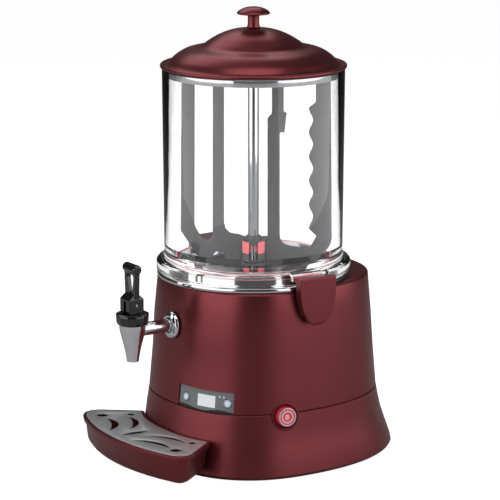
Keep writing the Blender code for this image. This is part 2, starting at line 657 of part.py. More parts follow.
def build_control_panel():
    """Curved fascia with a display, two push buttons and the board behind them."""
    start, end = PANEL_ANGLES
    fascia = wall_patch((start + 0.2, end - 0.2), SEAM_Z + GAP, PANEL_TOP_Z, -4.5, -1.8)
    panel = add_piece("control_panel", "panel_grey", fascia)
    add_piece("display_window", "pale", wall_patch(DISPLAY_ANGLES, *DISPLAY_Z, -1.5, -0.9, 4))
    for side in BUTTON_ANGLES:
        frame = button_frame(side)
        cut(panel, placed(turned(disc_profile(BUTTON_R + 0.5, -12.0, 8.0), 14), frame), "hole_" + side)
        button = ((0.0, -0.6), (BUTTON_R - 0.7, -0.7), (BUTTON_R, -1.3), (BUTTON_R, -5.4),
                  (2.0, -5.4), (2.0, -8.5), (0.0, -8.5))
        add_piece("button_" + side, "pale", placed(turned(button, 14), frame),
                  origin=frame.translation)
    angle = math.radians((start + end) / 2)
    board = placed(block((-34.0, -11.0, -19.0), (34.0, 11.0, -17.4)),
                   facing(wall_point(angle, BUTTON_Z), wall_normal(angle, BUTTON_Z)))
    add_piece("control_board", "green_board", board)


def build_switch():
    """Power switch on the seam: dished bezel, switch body behind it and a lit push cap."""
    frame = switch_frame()
    well = SWITCH_CAP_R + 0.6
    bezel = ((well, -4.0), (SWITCH_BEZEL_R, -4.0), (SWITCH_BEZEL_R, 0.3), (SWITCH_BEZEL_R - 1.2, 0.8),
             (well + 1.0, -1.2), (well, -2.0))
    add_piece("switch_bezel", "burgundy", placed(turned(bezel, 24), frame))
    can = ((0.0, -30.0), (15.0, -30.0), (15.0, -4.4), (well, -4.4), (well, -20.0), (0.0, -20.0))
    add_piece("switch_body", "black", placed(turned(can, 16), frame))
    cap = ((0.0, 7.4), (9.0, 7.2), (SWITCH_CAP_R - 0.8, 6.6), (SWITCH_CAP_R, 5.8),
           (SWITCH_CAP_R, -12.0), (0.0, -12.0))
    add_piece("switch_cap", "red_lens", placed(turned(cap, 20), frame), origin=frame.translation)


# ---------------------------------------------------------------- tap

def along_shank(profile, start_y):
    """Turn a profile about the shank's axis; heights become distances behind start_y."""
    return placed(turned(profile, 16), facing((0.0, start_y, SHANK_Z), (0.0, 1.0, 0.0)))


def build_tap_body():
    """Chrome body: a hollow cone that narrows to the spout, with the shank behind it."""
    outside = ((16.9, BODY_TOP_Z), (16.6, 186.0), (14.4, 176.0), (11.6, 166.0), (9.7, 157.0),
               (8.2, 149.0), (7.8, 144.0))
    inside = ((6.0, 144.0), (6.2, 152.0), (7.8, 158.5), (9.8, 167.0), (12.4, 176.0), (14.6, 186.0),
              (14.8, BODY_TOP_Z))
    body = add_piece("tap_body", "chrome", turned(outside + inside, 20, (0.0, TAP_Y)))
    start, end = TAP_Y + 12.7, SHANK_END_Y
    join(body, along_shank(disc_profile(SHANK_R, 0.0, end - start), start), "shank")
    cut(body, along_shank(disc_profile(5.2, -6.0, end - start + 4.0), start), "shank_bore")


def build_tap_mounting():
    """Domed flange outside the wall and the nut that clamps the shank from inside."""
    lean = wall_normal(0.0, SHANK_Z)
    dome = ((9.3, 0.0), (17.5, 0.0), (17.6, 1.8), (16.0, 4.6), (12.6, 6.4), (9.3, 6.6))
    flange = placed(turned(dome, 20), facing((0.0, -120.9, SHANK_Z), lean))
    add_piece("tap_flange", "chrome", flange)
    hexagon = [(x, z + SHANK_Z) for x, z in circle(14.0, segments=6)]
    bore = [(x, z + SHANK_Z) for x, z in circle(SHANK_R + 0.5, segments=14)]
    add_piece("tap_nut", "brass", plate([hexagon, bore], -114.9, -107.5, along="y"))


def build_tap_valve():
    """Bonnet collar, and the stem with its seat cup that lifts off the seat."""
    bonnet = ((3.0, 190.4), (12.0, 190.4), (12.0, BODY_TOP_Z + GAP), (18.9, BODY_TOP_Z + GAP),
              (20.6, 196.0), (21.3, 203.0), (21.0, 205.6), (19.6, BONNET_TOP_Z), (3.0, BONNET_TOP_Z))
    add_piece("tap_bonnet", "black", turned(bonnet, 20, (0.0, TAP_Y)))
    stem = ((0.0, PIN_Z), (2.5, PIN_Z), (2.5, 168.0), (5.0, 168.0), (5.0, 166.2), (0.0, 166.2))
    valve_origin = (0.0, TAP_Y, PIN_Z)
    rod = add_piece("tap_stem", "steel", turned(stem, 10, (0.0, TAP_Y)), origin=valve_origin)
    eye = [(y + TAP_Y, z + PIN_Z) for y, z in circle(4.0, segments=12)]
    join(rod, plate([eye], -2.5, 2.5, along="x"), "eye")
    hole = [(y + TAP_Y, z + PIN_Z) for y, z in circle(1.9, segments=12)]
    cut(rod, plate([hole], -4.0, 4.0, along="x"), "eye_hole")
    cup = ((2.9, 168.4), (9.5, 168.4), (10.2, 170.0), (8.4, 173.5), (5.0, 177.0), (2.9, 177.0))
    add_piece("tap_seat_cup", "red_rubber", turned(cup, 16, (0.0, TAP_Y)), origin=valve_origin)


def build_tap_handle():
    """Loop handle; its foot is a spiral cam that rolls on the bonnet and lifts the pin."""
    half_width, depth, shoulder_z = 12.0, 10.0, PIN_Z + 7.4
    side = [(TAP_Y + depth, shoulder_z), (TAP_Y + depth, PIN_Z - CAM_R + 2.0),
            (TAP_Y + depth - 2.0, PIN_Z - CAM_R)]
    steps = 6
    for step in range(steps + 1):
        tilt = HANDLE_TILT * step / steps
        reach = CAM_R + CAM_RISE * tilt
        side.append((TAP_Y - reach * math.sin(tilt), PIN_Z - reach * math.cos(tilt)))
    side.append((side[-1][0], shoulder_z))
    handle = add_piece("tap_handle", "black", plate([side], -half_width, half_width, along="x"),
                       origin=(0.0, TAP_Y, PIN_Z))

    def level(half_x, half_y, height):
        return [Vector((x * half_x, TAP_Y + y * half_y, height))
                for x, y in ((-1, -1), (1, -1), (1, 1), (-1, 1))]

    join(handle, lofted([level(11.9, 9.9, shoulder_z - 1.0), level(11.9, 9.9, shoulder_z + 0.6),
                         level(11.0, 2.6, shoulder_z + 7.0)]), "shoulder")
    loop = filleted(((-11.4, 224.0), (11.4, 224.0), (13.2, 234.0), (14.6, 262.0), (-14.6, 262.0),
                     (-13.2, 234.0)), (0, 0, 6.0, 0, 0, 6.0), 2)
    gap = filleted(((-4.4, 232.5), (4.4, 232.5), (9.1, 256.5), (-9.1, 256.5)), (3.0, 3.0, 4.0, 4.0), 3)
    join(handle, plate([loop, gap], TAP_Y - 3.2, TAP_Y + 3.2, along="y"), "loop")
    bar = placed(turned(((0.0, 15.4), (4.6, 15.4), (6.3, 13.7), (6.3, -13.7), (4.6, -15.4),
                         (0.0, -15.4)), 12), facing((0.0, TAP_Y, 263.6), (1.0, 0.0, 0.0)))
    join(handle, bar, "bar")
    slot_top = PIN_Z + 4.6
    cut(handle, block((-3.0, TAP_Y - 20.0, PIN_Z - 20.0), (3.0, TAP_Y + 4.6, slot_top)), "stem_slot")
    bore = [(y + TAP_Y, z + PIN_Z) for y, z in circle(1.9, segments=12)]
    cut(handle, plate([bore], -14.0, 14.0, along="x"), "pin_bore")
    pin = placed(turned(disc_profile(1.5, -11.4, 11.4), 12),
                 facing((0.0, TAP_Y, PIN_Z), (1.0, 0.0, 0.0)))
    add_piece("tap_pin", "steel", pin, origin=(0.0, TAP_Y, PIN_Z))


# ---------------------------------------------------------------- drip tray

def crossing(start, direction, radius, centre_y):
    """Point where a line runs out through a circle centred on the machine's middle plane."""
    offset = start - Vector((0.0, centre_y))
    along = offset.dot(direction)
    return start + direction * (math.sqrt(along ** 2 - offset.length_squared + radius ** 2) - along)


def skirt_crossing(start, direction, height, offset):
    """Angle at which a line in plan meets the skirt's face."""
    low, high = 0.2, 1.3
    for _ in range(40):
        angle = (low + high) / 2
        beside = wall_point(angle, height, offset).to_2d() - start
        if beside.cross(direction) > 0:
            low = angle
        else:
            high = angle
    return angle


def tray_outline(height, inset, back_gap=0.8):
    """Plan of the tray: bowed front, straight sides, and a back that follows the skirt."""
    direction = (TRAY_SIDE[1] - TRAY_SIDE[0]).normalized()
    outward = Vector((-direction.y, direction.x))
    start = TRAY_SIDE[0] - outward * inset
    centre_y = TRAY_FRONT_ARC_R - TRAY_FRONT
    front_r = TRAY_FRONT_ARC_R - inset
    front_corner = crossing(start, direction, front_r, centre_y)
    offset = back_gap + inset
    back_angle = skirt_crossing(start, direction, height, offset)
    back_corner = wall_point(back_angle, height, offset).to_2d()

    front_angle = math.asin(front_corner.x / front_r) * 0.7
    front_arc = [(front_r * math.sin(a), centre_y - front_r * math.cos(a))
                 for a in (front_angle * step / 4 for step in range(-4, 5))]
    back_arc = [wall_point(back_angle * 0.93 * step / 5, height, offset).to_2d()[:]
                for step in range(5, -6, -1)]
    corners = front_arc + [tuple(front_corner), tuple(back_corner)] + back_arc
    corners += [(-back_corner.x, back_corner.y), (-front_corner.x, front_corner.y)]
    front_fillet, back_fillet = max(20.0 - inset, 5.0), 4.0
    radii = [0] * len(front_arc) + [front_fillet, back_fillet] + [0] * len(back_arc)
    radii += [back_fillet, front_fillet]
    return filleted(corners, radii, 3)


def tray_ring(height, inset, back_gap=0.8):
    return [Vector((x, y, height)) for x, y in tray_outline(height, inset, back_gap)]


def tongue(sign, grow=0.0, front=-148.0):
    """Flat tongue behind the tray that hooks into a slot of the skirt."""
    low, high = sorted((sign * 32.0, sign * 48.0))
    return block((low - grow, front, 20.0 - grow), (high + grow, -118.0, 24.0 + grow))


def build_drip_tray():
    """Tub with an overhanging lip and two tongues into the skirt."""
    low, top = TRAY_Z
    outside = [tray_ring(low, 14.0), tray_ring(low + 2.0, 9.5), tray_ring(low + 7.0, 6.0),
               tray_ring(top - 7.0, 3.2), tray_ring(top - 6.5, 0.4), tray_ring(top - 1.0, 0.0),
               tray_ring(top, 1.2)]
    inside = [tray_ring(top, 3.4), tray_ring(GRILLE_Z[0] - GAP, 3.6), tray_ring(GRILLE_Z[0] - GAP, 6.6),
              tray_ring(low + 5.0, 11.0), tray_ring(low + 3.0, 15.0)]
    tray = add_piece("drip_tray", "burgundy", lofted(outside + inside))
    for side, sign in (("right", 1), ("left", -1)):
        join(tray, tongue(sign), "tongue_" + side)


def crescent(first, last, back, front):
    """Crescent between two tips, bounded by an arc on each side."""
    return (arc_through(first, back, last, 7) + arc_through(last, front, first, 7)[1:-1])


def build_drip_grille():
    """Steel grille with one lens-shaped slot, four crescents and four finger holes."""
    slots = [arc_through((0.0, -197.0), (5.4, -177.0), (0.0, -156.5), 7)
             + arc_through((0.0, -156.5), (-5.4, -177.0), (0.0, -197.0), 7)[1:-1]]
    for sign in (1, -1):
        slots.append(crescent((sign * 82.0, -174.5), (sign * 26.5, -200.0),
                              (sign * 44.0, -175.5), (sign * 49.0, -183.5)))
        slots.append(crescent((sign * 75.0, -147.0), (sign * 17.5, -175.0),
                              (sign * 36.0, -150.5), (sign * 39.5, -157.5)))
        slots.append(circle(7.5, (sign * 93.5, -172.0), 14))
        slots.append(circle(5.5, (sign * 77.0, -138.5), 12))
    edge = tray_outline(GRILLE_Z[0], 4.0)
    add_piece("drip_grille", "steel", plate([edge] + slots, *GRILLE_Z))


# ---------------------------------------------------------------- lid

def build_lid():
    """Two-step domed lid with a rolled rim, its knob and screw, and the steel locating ring."""
    outside = ((2.4, 554.0), (26.0, 551.0), (44.0, 544.6), (58.0, 536.4), (67.0, 530.4),
               (84.0, 526.6), (93.0, 522.6), (101.5, 516.4), (107.4, 509.8), (110.0, 507.0),
               (112.5, 506.6),
               (116.0, 508.4), (LID_RIM_R, 506.4), (117.5, 503.4))
    inside = ((106.0, 503.4), (92.0, 518.6), (66.0, 527.2), (56.0, 533.8), (42.5, 541.8),
              (25.0, 548.0), (2.4, 551.0))
    add_piece("lid_shell", "burgundy", turned(outside + inside, JAR_SEGMENTS))
    add_piece("lid_collar", "steel", turned(ring_profile(110.2, 111.6, 493.5, 503.1), JAR_SEGMENTS))
    knob = ((0.0, KNOB_TOP_Z), (8.0, 579.3), (14.5, 577.2), (19.2, 574.6), (21.0, 572.2),
            (20.2, 570.6), (15.0, 570.4), (8.6, 571.4), (7.3, 569.6), (7.2, 558.0), (8.0, 554.4),
            (2.3, 554.4), (2.3, 566.0), (0.0, 566.0))
    add_piece("lid_knob", "burgundy", turned(knob, 20))
    screw = ((0.0, 565.4), (1.9, 565.4), (1.9, 550.2), (5.0, 550.2), (4.6, 548.0), (0.0, 548.0))
    add_piece("lid_knob_screw", "steel", turned(screw, 8))


# ---------------------------------------------------------------- latches

def latch_bore(sign, radius, low=-30.0, high=45.0):
    outline = [(sign * LATCH_PIVOT[0] + x, LATCH_PIVOT[1] + z) for x, z in circle(radius, segments=12)]
    return plate([outline], low, high, along="y")


def latch_middle():
    return (LATCH_Y[0] + LATCH_Y[1]) / 2


def latch_lug(sign):
    """Lug on the housing wall that carries a latch pin."""
    pivot_x, pivot_z = LATCH_PIVOT
    nose = arc(5.0, (pivot_x, pivot_z), -90.0, 90.0, 6)
    outline = [(sign * x, z) for x, z in [(125.0, pivot_z - 5.0), *nose, (125.0, pivot_z + 5.0)]]
    return plate([outline], latch_middle() - 5.0, latch_middle() + 5.0, along="y")


def build_latch(side, sign):
    """Tongue-shaped latch; its lip hooks over the jar's flange."""
    inner, outer = LATCH_X
    pivot_x, pivot_z = LATCH_PIVOT
    low, high = LATCH_Z
    hub = arc(6.0, (pivot_x, pivot_z), 180.0, 270.0, 5)
    section = [(115.4, 250.4), (inner, 250.4), *hub, (LATCH_HEEL_X, pivot_z - 6.0),
               (LATCH_HEEL_X, low), (outer - 2.0, low), (outer, low + 4.0), (outer, high - 0.8),
               (outer - 0.8, high), (116.0, high - 2.6), (115.4, high - 3.2)]
    section = [(sign * x, z) for x, z in section]
    origin = (sign * pivot_x, latch_middle(), pivot_z)
    latch = add_piece("latch_" + side, "burgundy", plate([section], *LATCH_Y, along="y"), origin)
    middle, half_width = latch_middle(), (LATCH_Y[1] - LATCH_Y[0]) / 2
    tongue_edge = [(middle + half_width * x, low + LATCH_TOE * (1 + z))
                   for x, z in arc(1.0, (0.0, 0.0), 180.0, 360.0, 14)]
    tongue_edge += [(LATCH_Y[1], high + 5), (LATCH_Y[0], high + 5)]
    x_low, x_high = sorted((sign * 110.0, sign * 145.0))
    combine(latch, "INTERSECT", plate([tongue_edge], x_low, x_high, along="x"), "tongue_edge")
    half = 5.6
    slot = ((120.0, 180.0), (pivot_x + 4.8, 180.0), (pivot_x + 4.8, pivot_z), (pivot_x, pivot_z),
            (pivot_x, pivot_z + 5.6), (120.0, pivot_z + 5.6))
    slot = [(sign * x, z) for x, z in slot]
    cut(latch, plate([slot], middle - half, middle + half, along="y"), "lug_slot")
    cut(latch, latch_bore(sign, 5.7, middle - half, middle + half), "lug_round")
    cut(latch, latch_bore(sign, 1.9), "pin_bore")
    pin = placed(turned(disc_profile(1.5, -15.0, 15.0), 12),
                 facing((sign * pivot_x, middle, pivot_z), (0.0, 1.0, 0.0)))
    add_piece("latch_pin_" + side, "steel", pin)


build_housing_shell()
build_base_skirt()
build_base_plate()
build_feet_and_screws()
build_cable_gland()
build_product_pan()
build_water_tank()
build_jar()
build_column()
build_heating()
build_outlet_elbow()
build_drive()
build_paddle()
build_control_panel()
build_switch()
build_tap_body()
build_tap_mounting()
build_tap_valve()
build_tap_handle()
build_drip_tray()
build_drip_grille()
build_lid()
build_latch("right", 1)
build_latch("left", -1)
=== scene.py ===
"""Looks of a ten-litre counter dispenser for hot sauce or hot drinks.

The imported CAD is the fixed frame. This script puts smooth, finished pieces round it: the moulded
casing, the clear jar on its polished pan, the domed lid, the tap, the drip tray and the controls.
Shapes are worked out in millimetres about the jar's axis, with the tap towards -Y, and are moved
to the frame, in metres, when a piece is finished.
"""

from __future__ import annotations

import logging
import math
from dataclasses import dataclass
from enum import Enum
from typing import Callable, Iterable, Sequence

import bmesh
import bpy
from mathutils import Matrix, Vector


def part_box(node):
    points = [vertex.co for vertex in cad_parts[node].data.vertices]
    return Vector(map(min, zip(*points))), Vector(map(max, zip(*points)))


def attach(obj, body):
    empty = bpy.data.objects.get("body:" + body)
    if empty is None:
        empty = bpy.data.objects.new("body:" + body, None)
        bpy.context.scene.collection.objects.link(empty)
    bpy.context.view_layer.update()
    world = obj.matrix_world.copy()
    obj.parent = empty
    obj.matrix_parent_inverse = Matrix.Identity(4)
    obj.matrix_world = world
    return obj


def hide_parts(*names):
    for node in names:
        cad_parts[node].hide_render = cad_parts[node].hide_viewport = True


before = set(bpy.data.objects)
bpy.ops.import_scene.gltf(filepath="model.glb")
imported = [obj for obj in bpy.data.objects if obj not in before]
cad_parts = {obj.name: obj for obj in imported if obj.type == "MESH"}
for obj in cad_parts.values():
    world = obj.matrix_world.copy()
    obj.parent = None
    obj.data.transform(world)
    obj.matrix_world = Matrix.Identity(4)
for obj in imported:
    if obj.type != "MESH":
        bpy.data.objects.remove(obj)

log = logging.getLogger("dispenser")

MM = 0.001
FULL_TURN = 2.0 * math.pi
NEAR_ZERO = 1e-6
FINE_STEPS = 160            # facets round the large turned pieces
SMALL_STEPS = 64            # facets round the small turned pieces
CLOUD_SCALE = 22.0          # smudges in the gloss, about 45 mm across
GLOSS_SWING = 0.12          # how far they move the roughness either way
BUMP_SHARE = 0.4            # depth of a bump against the width of its grain
CORNER_SHARE = 0.42         # share of a side that a rounded corner may take
STRAIGHT = math.radians(172.0)      # a corner that opens wider than this is left as it is
TWO_WALLS = 1.5             # a ray that passed both faces of a clear wall has a depth over this
LIGHT_REACH = 1.9           # metres from the object's middle to each softbox
MIDDLE_Z = 0.3              # height that the softboxes aim at

Profile = Sequence[tuple[float, float]]


def axis_y() -> float:
    """Distance of the jar's axis behind the frame's origin, in metres."""
    low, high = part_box("column_tube")
    return (low.y + high.y) / 2


AXIS_Y = axis_y()
TO_FRAME = Matrix.Translation((0.0, AXIS_Y, 0.0)) @ Matrix.Scale(MM, 4)


# ------------------------------------------------------------------ finishes

def linear(hex_colour: str) -> tuple[float, float, float, float]:
    """Turn an sRGB hex colour into linear RGBA.

    Args:
        hex_colour: colour such as "#6b2529".

    Returns:
        Linear red, green, blue and an alpha of 1.
    """
    digits = hex_colour.lstrip("#")
    channels = [int(digits[i:i + 2], 16) / 255 for i in (0, 2, 4)]
    values = [c / 12.92 if c <= 0.04045 else ((c + 0.055) / 1.055) ** 2.4 for c in channels]
    return (*values, 1.0)


def add_node(tree: bpy.types.NodeTree, kind: str, settings: dict | None = None,
             inputs: dict | None = None) -> bpy.types.Node:
    """Add a node with its settings, and fill its sockets with values or links.

    Args:
        tree: node tree that the node joins.
        kind: Blender's type name of the node.
        settings: attributes of the node.
        inputs: socket name or number to a value, or to an output socket to link.

    Returns:
        The new node.
    """
    node = tree.nodes.new(kind)
    for name, value in (settings or {}).items():
        setattr(node, name, value)
    for name, value in (inputs or {}).items():
        if isinstance(value, bpy.types.NodeSocket):
            tree.links.new(value, node.inputs[name])
        else:
            node.inputs[name].default_value = value
    return node


class Grain(Enum):
    """How a surface was made, which sets the pattern that its finish carries."""

    SPARKED = "fine spark-eroded texture of a moulded part"
    BRUSHED = "straight lines from a belt, along X"
    POLISHED = "buffed, with faint cloudy smudges"
    LAPPED = "smooth and clear, with faint ripples of a moulded tube"
    CAST = "soft uneven skin of rubber or silicone"
    SCREEN = "fine dots of a liquid crystal window"


@dataclass(frozen=True)
class Finish:
    """One finish: its colour, its gloss and the pattern in its surface."""

    name: str
    slot: str
    colour: str
    roughness: float
    grain: Grain = Grain.SPARKED
    grain_mm: float = 1.5
    depth: float = 0.1
    metallic: float = 0.0
    ior: float = 1.5
    coat: float = 0.0
    coat_roughness: float = 0.1
    transmission: float = 0.0
    glow: float = 0.0
    specular: float = 0.5
    shade: str = ""
    variation: float = 0.06

    def material(self) -> bpy.types.Material:
        """Build the finish's material once, and give the same one from then on."""
        made = bpy.data.materials.get(self.name)
        if made is None:
            made = bpy.data.materials.new(self.name)
            made.use_nodes = True
            self._fill(made.node_tree)
        return made

    def _fill(self, tree: bpy.types.NodeTree) -> None:
        """Build the node tree: pattern, colour, gloss and bump, all on Object coordinates."""
        tree.nodes.clear()
        place = add_node(tree, "ShaderNodeTexCoord").outputs["Object"]
        per_metre = 1.0 / (self.grain_mm * MM)
        stretch = (0.02, 1.0, 1.0) if self.grain is Grain.BRUSHED else (1.0, 1.0, 1.0)
        mapped = add_node(tree, "ShaderNodeMapping", None,
                          {"Vector": place, "Scale": tuple(per_metre * s for s in stretch)})
        if self.grain is Grain.SCREEN:
            pattern = add_node(tree, "ShaderNodeTexVoronoi", {"feature": "F1"},
                               {"Vector": mapped.outputs[0], "Scale": 1.0, "Randomness": 0.05})
            height = pattern.outputs["Distance"]
        else:
            detail = 2.0 if self.grain in (Grain.SPARKED, Grain.BRUSHED) else 0.5
            pattern = add_node(tree, "ShaderNodeTexNoise", None,
                               {"Vector": mapped.outputs[0], "Scale": 1.0, "Detail": detail,
                                "Roughness": 0.55})
            height = pattern.outputs["Fac"]
        cloud = add_node(tree, "ShaderNodeTexNoise", None,
                         {"Vector": place, "Scale": CLOUD_SCALE, "Detail": 2.0, "Roughness": 0.5})
        base = linear(self.colour)
        dark = (linear(self.shade) if self.shade
                else tuple(c * (1 - 2 * self.variation) for c in base))
        blend = add_node(tree, "ShaderNodeMath", {"operation": "MULTIPLY_ADD"},
                         {0: height, 1: 0.5, 2: 0.25})
        tone = add_node(tree, "ShaderNodeMix", {"data_type": "RGBA"},
                        {"Factor": blend.outputs[0], 6: (*dark[:3], 1.0), 7: base})
        gloss = add_node(tree, "ShaderNodeMapRange", None,
                         {"Value": cloud.outputs["Fac"], "From Min": 0.3, "From Max": 0.7,
                          "To Min": self.roughness * (1 - GLOSS_SWING),
                          "To Max": self.roughness * (1 + GLOSS_SWING)})
        bump = add_node(tree, "ShaderNodeBump", None,
                        {"Height": height, "Strength": self.depth,
                         "Distance": self.grain_mm * MM * BUMP_SHARE})
        shader = add_node(tree, "ShaderNodeBsdfPrincipled", None,
                          {"Base Color": tone.outputs[2], "Roughness": gloss.outputs[0],
                           "Normal": bump.outputs[0], "Metallic": self.metallic,
                           "IOR": self.ior, "Specular IOR Level": self.specular,
                           "Coat Weight": self.coat,
                           "Coat Roughness": self.coat_roughness,
                           "Transmission Weight": self.transmission})
        # emission: real light in the lit switch lens and its pale rings; on the button centres and
        # the display it is painted glow
        if self.glow:
            shader.inputs["Emission Color"].default_value = base
            shader.inputs["Emission Strength"].default_value = self.glow
        surface = shader.outputs[0]
        if self.transmission:
            # shadows, and what the pieces inside mirror, cross the clear wall unbent
            rays = add_node(tree, "ShaderNodeLightPath")
            clear = add_node(tree, "ShaderNodeBsdfTransparent")
            deep = add_node(tree, "ShaderNodeMath", {"operation": "GREATER_THAN"},
                            {0: rays.outputs["Transmission Depth"], 1: TWO_WALLS})
            inside = add_node(tree, "ShaderNodeMath", {"operation": "MULTIPLY"},
                              {0: rays.outputs["Is Glossy Ray"], 1: deep.outputs[0]})
            passing = add_node(tree, "ShaderNodeMath", {"operation": "MAXIMUM"},
                               {0: rays.outputs["Is Shadow Ray"], 1: inside.outputs[0]})
            surface = add_node(tree, "ShaderNodeMixShader", None,
                               {0: passing.outputs[0], 1: shader.outputs[0],
                                2: clear.outputs[0]}).outputs[0]
        add_node(tree, "ShaderNodeOutputMaterial", None, {"Surface": surface})


# Satin injection-moulded ABS with a pearl pigment: soft broad highlights that keep the wine red,
# which the large metallic share gives. The real texture is about 0.2 mm, too fine to show, so it
# is drawn at 1.4 mm and very shallow.
BURGUNDY = Finish("satin_burgundy_abs", "burgundy_abs", "#843f43", 0.33, Grain.SPARKED, 1.4, 0.04,
                  metallic=0.85, specular=0.2, shade="#7c393d")
# Belt-brushed stainless sheet: streaks stretched along X, drawn at 0.9 mm so that they show. The
# metallic share below one leaves part of it matt, so that it reads pale grey from every side.
BRUSHED_STEEL = Finish("brushed_stainless_sheet", "stainless", "#d2d3d5", 0.35, Grain.BRUSHED, 0.9,
                       0.25, metallic=0.6, variation=0.08)
# Buffed stainless: near-mirror bands of light and dark with a faint haze.
POLISHED_STEEL = Finish("polished_stainless", "polished_steel", "#dcdcde", 0.10, Grain.POLISHED,
                        9.0, 0.02, metallic=1.0, variation=0.02)
# Bright chrome plate on brass: hard dark and light reflections.
CHROME = Finish("chrome_plated_brass", "chrome_plate", "#e6e7ea", 0.05, Grain.POLISHED, 12.0, 0.01,
                metallic=1.0, variation=0.01)
# Turned brass: warm yellow with soft tool marks.
BRASS = Finish("turned_brass", "brass", "#c19a4c", 0.26, Grain.POLISHED, 3.0, 0.08, metallic=1.0)
# Gloss black phenolic: deep black that shows lights as light grey glints.
BLACK_GLOSS = Finish("gloss_black_phenolic", "black_gloss", "#0c0c0d", 0.17, Grain.LAPPED, 8.0,
                     0.04, ior=1.6, coat=0.4, coat_roughness=0.08)
# Filled nylon sheet: flat dark grey with next to no shine.
PADDLE_NYLON = Finish("dark_filled_nylon", "paddle_nylon", "#48484a", 0.62, Grain.SPARKED, 2.0,
                      0.04, ior=1.53)
# Printed polyester film: flat mid grey with a slight sheen.
PANEL_FILM = Finish("printed_fascia_film", "panel_film", "#7b8083", 0.42, Grain.SPARKED, 1.2, 0.03)
# Dark ink on the same film.
PANEL_INK = Finish("dark_fascia_ink", "panel_film", "#16171a", 0.30, Grain.SPARKED, 1.2, 0.03)
# Pale liquid crystal window: faint dots 1.6 mm apart behind a gloss skin.
# Its glow is painted light that brightens the window, which is no lamp.
DISPLAY_PAINTED_GLOW = Finish("liquid_crystal_window_painted_glow", "display", "#dadcdc", 0.20, Grain.SCREEN, 1.6, 0.0,
                 coat=0.3, glow=0.45, shade="#b9bcbd")
# Satin-plated button ring: cool silver.
BUTTON_RING = Finish("plated_button_ring", "button_plate", "#bccbdb", 0.35, Grain.POLISHED, 4.0,
                     0.02, metallic=1.0)
# White moulded button centre, with a painted glow: it is no lamp.
BUTTON_WHITE_PAINTED_GLOW = Finish("white_button_centre_painted_glow", "button_plate", "#e9edf0", 0.30, Grain.SPARKED, 1.2,
                      0.03, glow=0.15)
# Silicone rubber, moulded red: soft deep red with a satin skin.
RED_SILICONE = Finish("red_silicone", "red_silicone", "#a3101c", 0.42, Grain.CAST, 3.0, 0.05,
                      ior=1.43)
# Lit translucent red lens of a rocker.
RED_LENS = Finish("lit_red_lens", "red_lens", "#c9353f", 0.16, Grain.LAPPED, 5.0, 0.02,
                  ior=1.49, coat=0.5, glow=0.22)
# Pale pink printing and rings of the lit lens.
LENS_PALE = Finish("pale_lens_ring", "red_lens", "#e9a9ae", 0.20, Grain.LAPPED, 5.0, 0.02,
                   glow=0.15)
# Matt black rubber of the feet.
RUBBER = Finish("black_foot_rubber", "rubber", "#141414", 0.75, Grain.CAST, 1.5, 0.15, ior=1.52)
# Injection-moulded clear polycarbonate: dark edges, bright reflections, clean middle.
CLEAR = Finish("clear_polycarbonate", "clear_pc", "#fbfcfc", 0.02, Grain.LAPPED, 26.0, 0.010,
               ior=1.46, transmission=1.0, variation=0.0, specular=0.28)
# Natural nylon of the gears and bushes: creamy and matt.
WHITE_NYLON = Finish("natural_nylon", "white_nylon", "#e4e0d2", 0.50, Grain.CAST, 2.0, 0.05)
# Coated circuit board, green with a satin varnish.
BOARD = Finish("coated_board", "board", "#1d6a3a", 0.38, Grain.SPARKED, 2.5, 0.1)


# ------------------------------------------------------------------ working a shape

def rounded(points: Profile, radius: float, steps: int = 3) -> list[tuple[float, float]]:
    """Round each corner of a closed outline.

    Args:
        points: corners of the outline.
        radius: wanted radius; short sides get less.
        steps: segments in each rounded corner.

    Returns:
        The outline with an arc at each corner that is off the axis.
    """
    made: list[tuple[float, float]] = []
    count = len(points)
    for index, corner in enumerate(points):
        here = Vector(corner)
        before, after = Vector(points[index - 1]) - here, Vector(points[(index + 1) % count]) - here
        turn = before.angle(after, math.pi)
        if abs(here.x) < NEAR_ZERO or turn > STRAIGHT:
            made.append(tuple(here))
            continue
        reach = min(radius / math.tan(turn / 2), before.length * CORNER_SHARE,
                    after.length * CORNER_SHARE)
        start, end = here + before.normalized() * reach, here + after.normalized() * reach
        for step in range(steps + 1):
            t = step / steps
            made.append(tuple(start * (1 - t) ** 2 + here * 2 * t * (1 - t) + end * t * t))
    return made


def flowing(points: Profile, steps: int = 6) -> list[tuple[float, float]]:
    """Smooth curve through the given points, in their order.

    Args:
        points: points that the curve passes through.
        steps: segments between each two.

    Returns:
        Points along a Catmull-Rom curve.
    """
    ends = [Vector(points[0]) * 2 - Vector(points[1]), *map(Vector, points),
            Vector(points[-1]) * 2 - Vector(points[-2])]
    made = []
    for a, b, c, d in zip(ends, ends[1:], ends[2:], ends[3:]):
        for step in range(steps):
            t = step / steps
            made.append(tuple(0.5 * (2 * b + (c - a) * t + (2 * a - 5 * b + 4 * c - d) * t * t
                                     + (3 * b - a - 3 * c + d) * t ** 3)))
    return made + [tuple(points[-1])]


def turned(outline: Profile, steps: int = FINE_STEPS, centre: tuple[float, float] = (0.0, 0.0)
           ) -> bmesh.types.BMesh:
    """Turn a closed outline of (radius, height) about an upright axis.

    Args:
        outline: corners of the section, in order.
        steps: facets round the piece.
        centre: place of the axis in plan.

    Returns:
        A closed mesh in millimetres.
    """
    shape = bmesh.new()
    verts = [shape.verts.new((radius, 0.0, height)) for radius, height in outline]
    edges = [shape.edges.new(pair) for pair in zip(verts, verts[1:] + verts[:1])
             if pair[0].co.x > NEAR_ZERO or pair[1].co.x > NEAR_ZERO]
    bmesh.ops.spin(shape, geom=verts + edges, cent=(0, 0, 0), axis=(0, 0, 1), angle=FULL_TURN,
                   steps=steps, use_merge=True)
    bmesh.ops.remove_doubles(shape, verts=shape.verts, dist=1e-4)
    bmesh.ops.translate(shape, verts=shape.verts, vec=(*centre, 0.0))
    bmesh.ops.recalc_face_normals(shape, faces=shape.faces)
    return shape


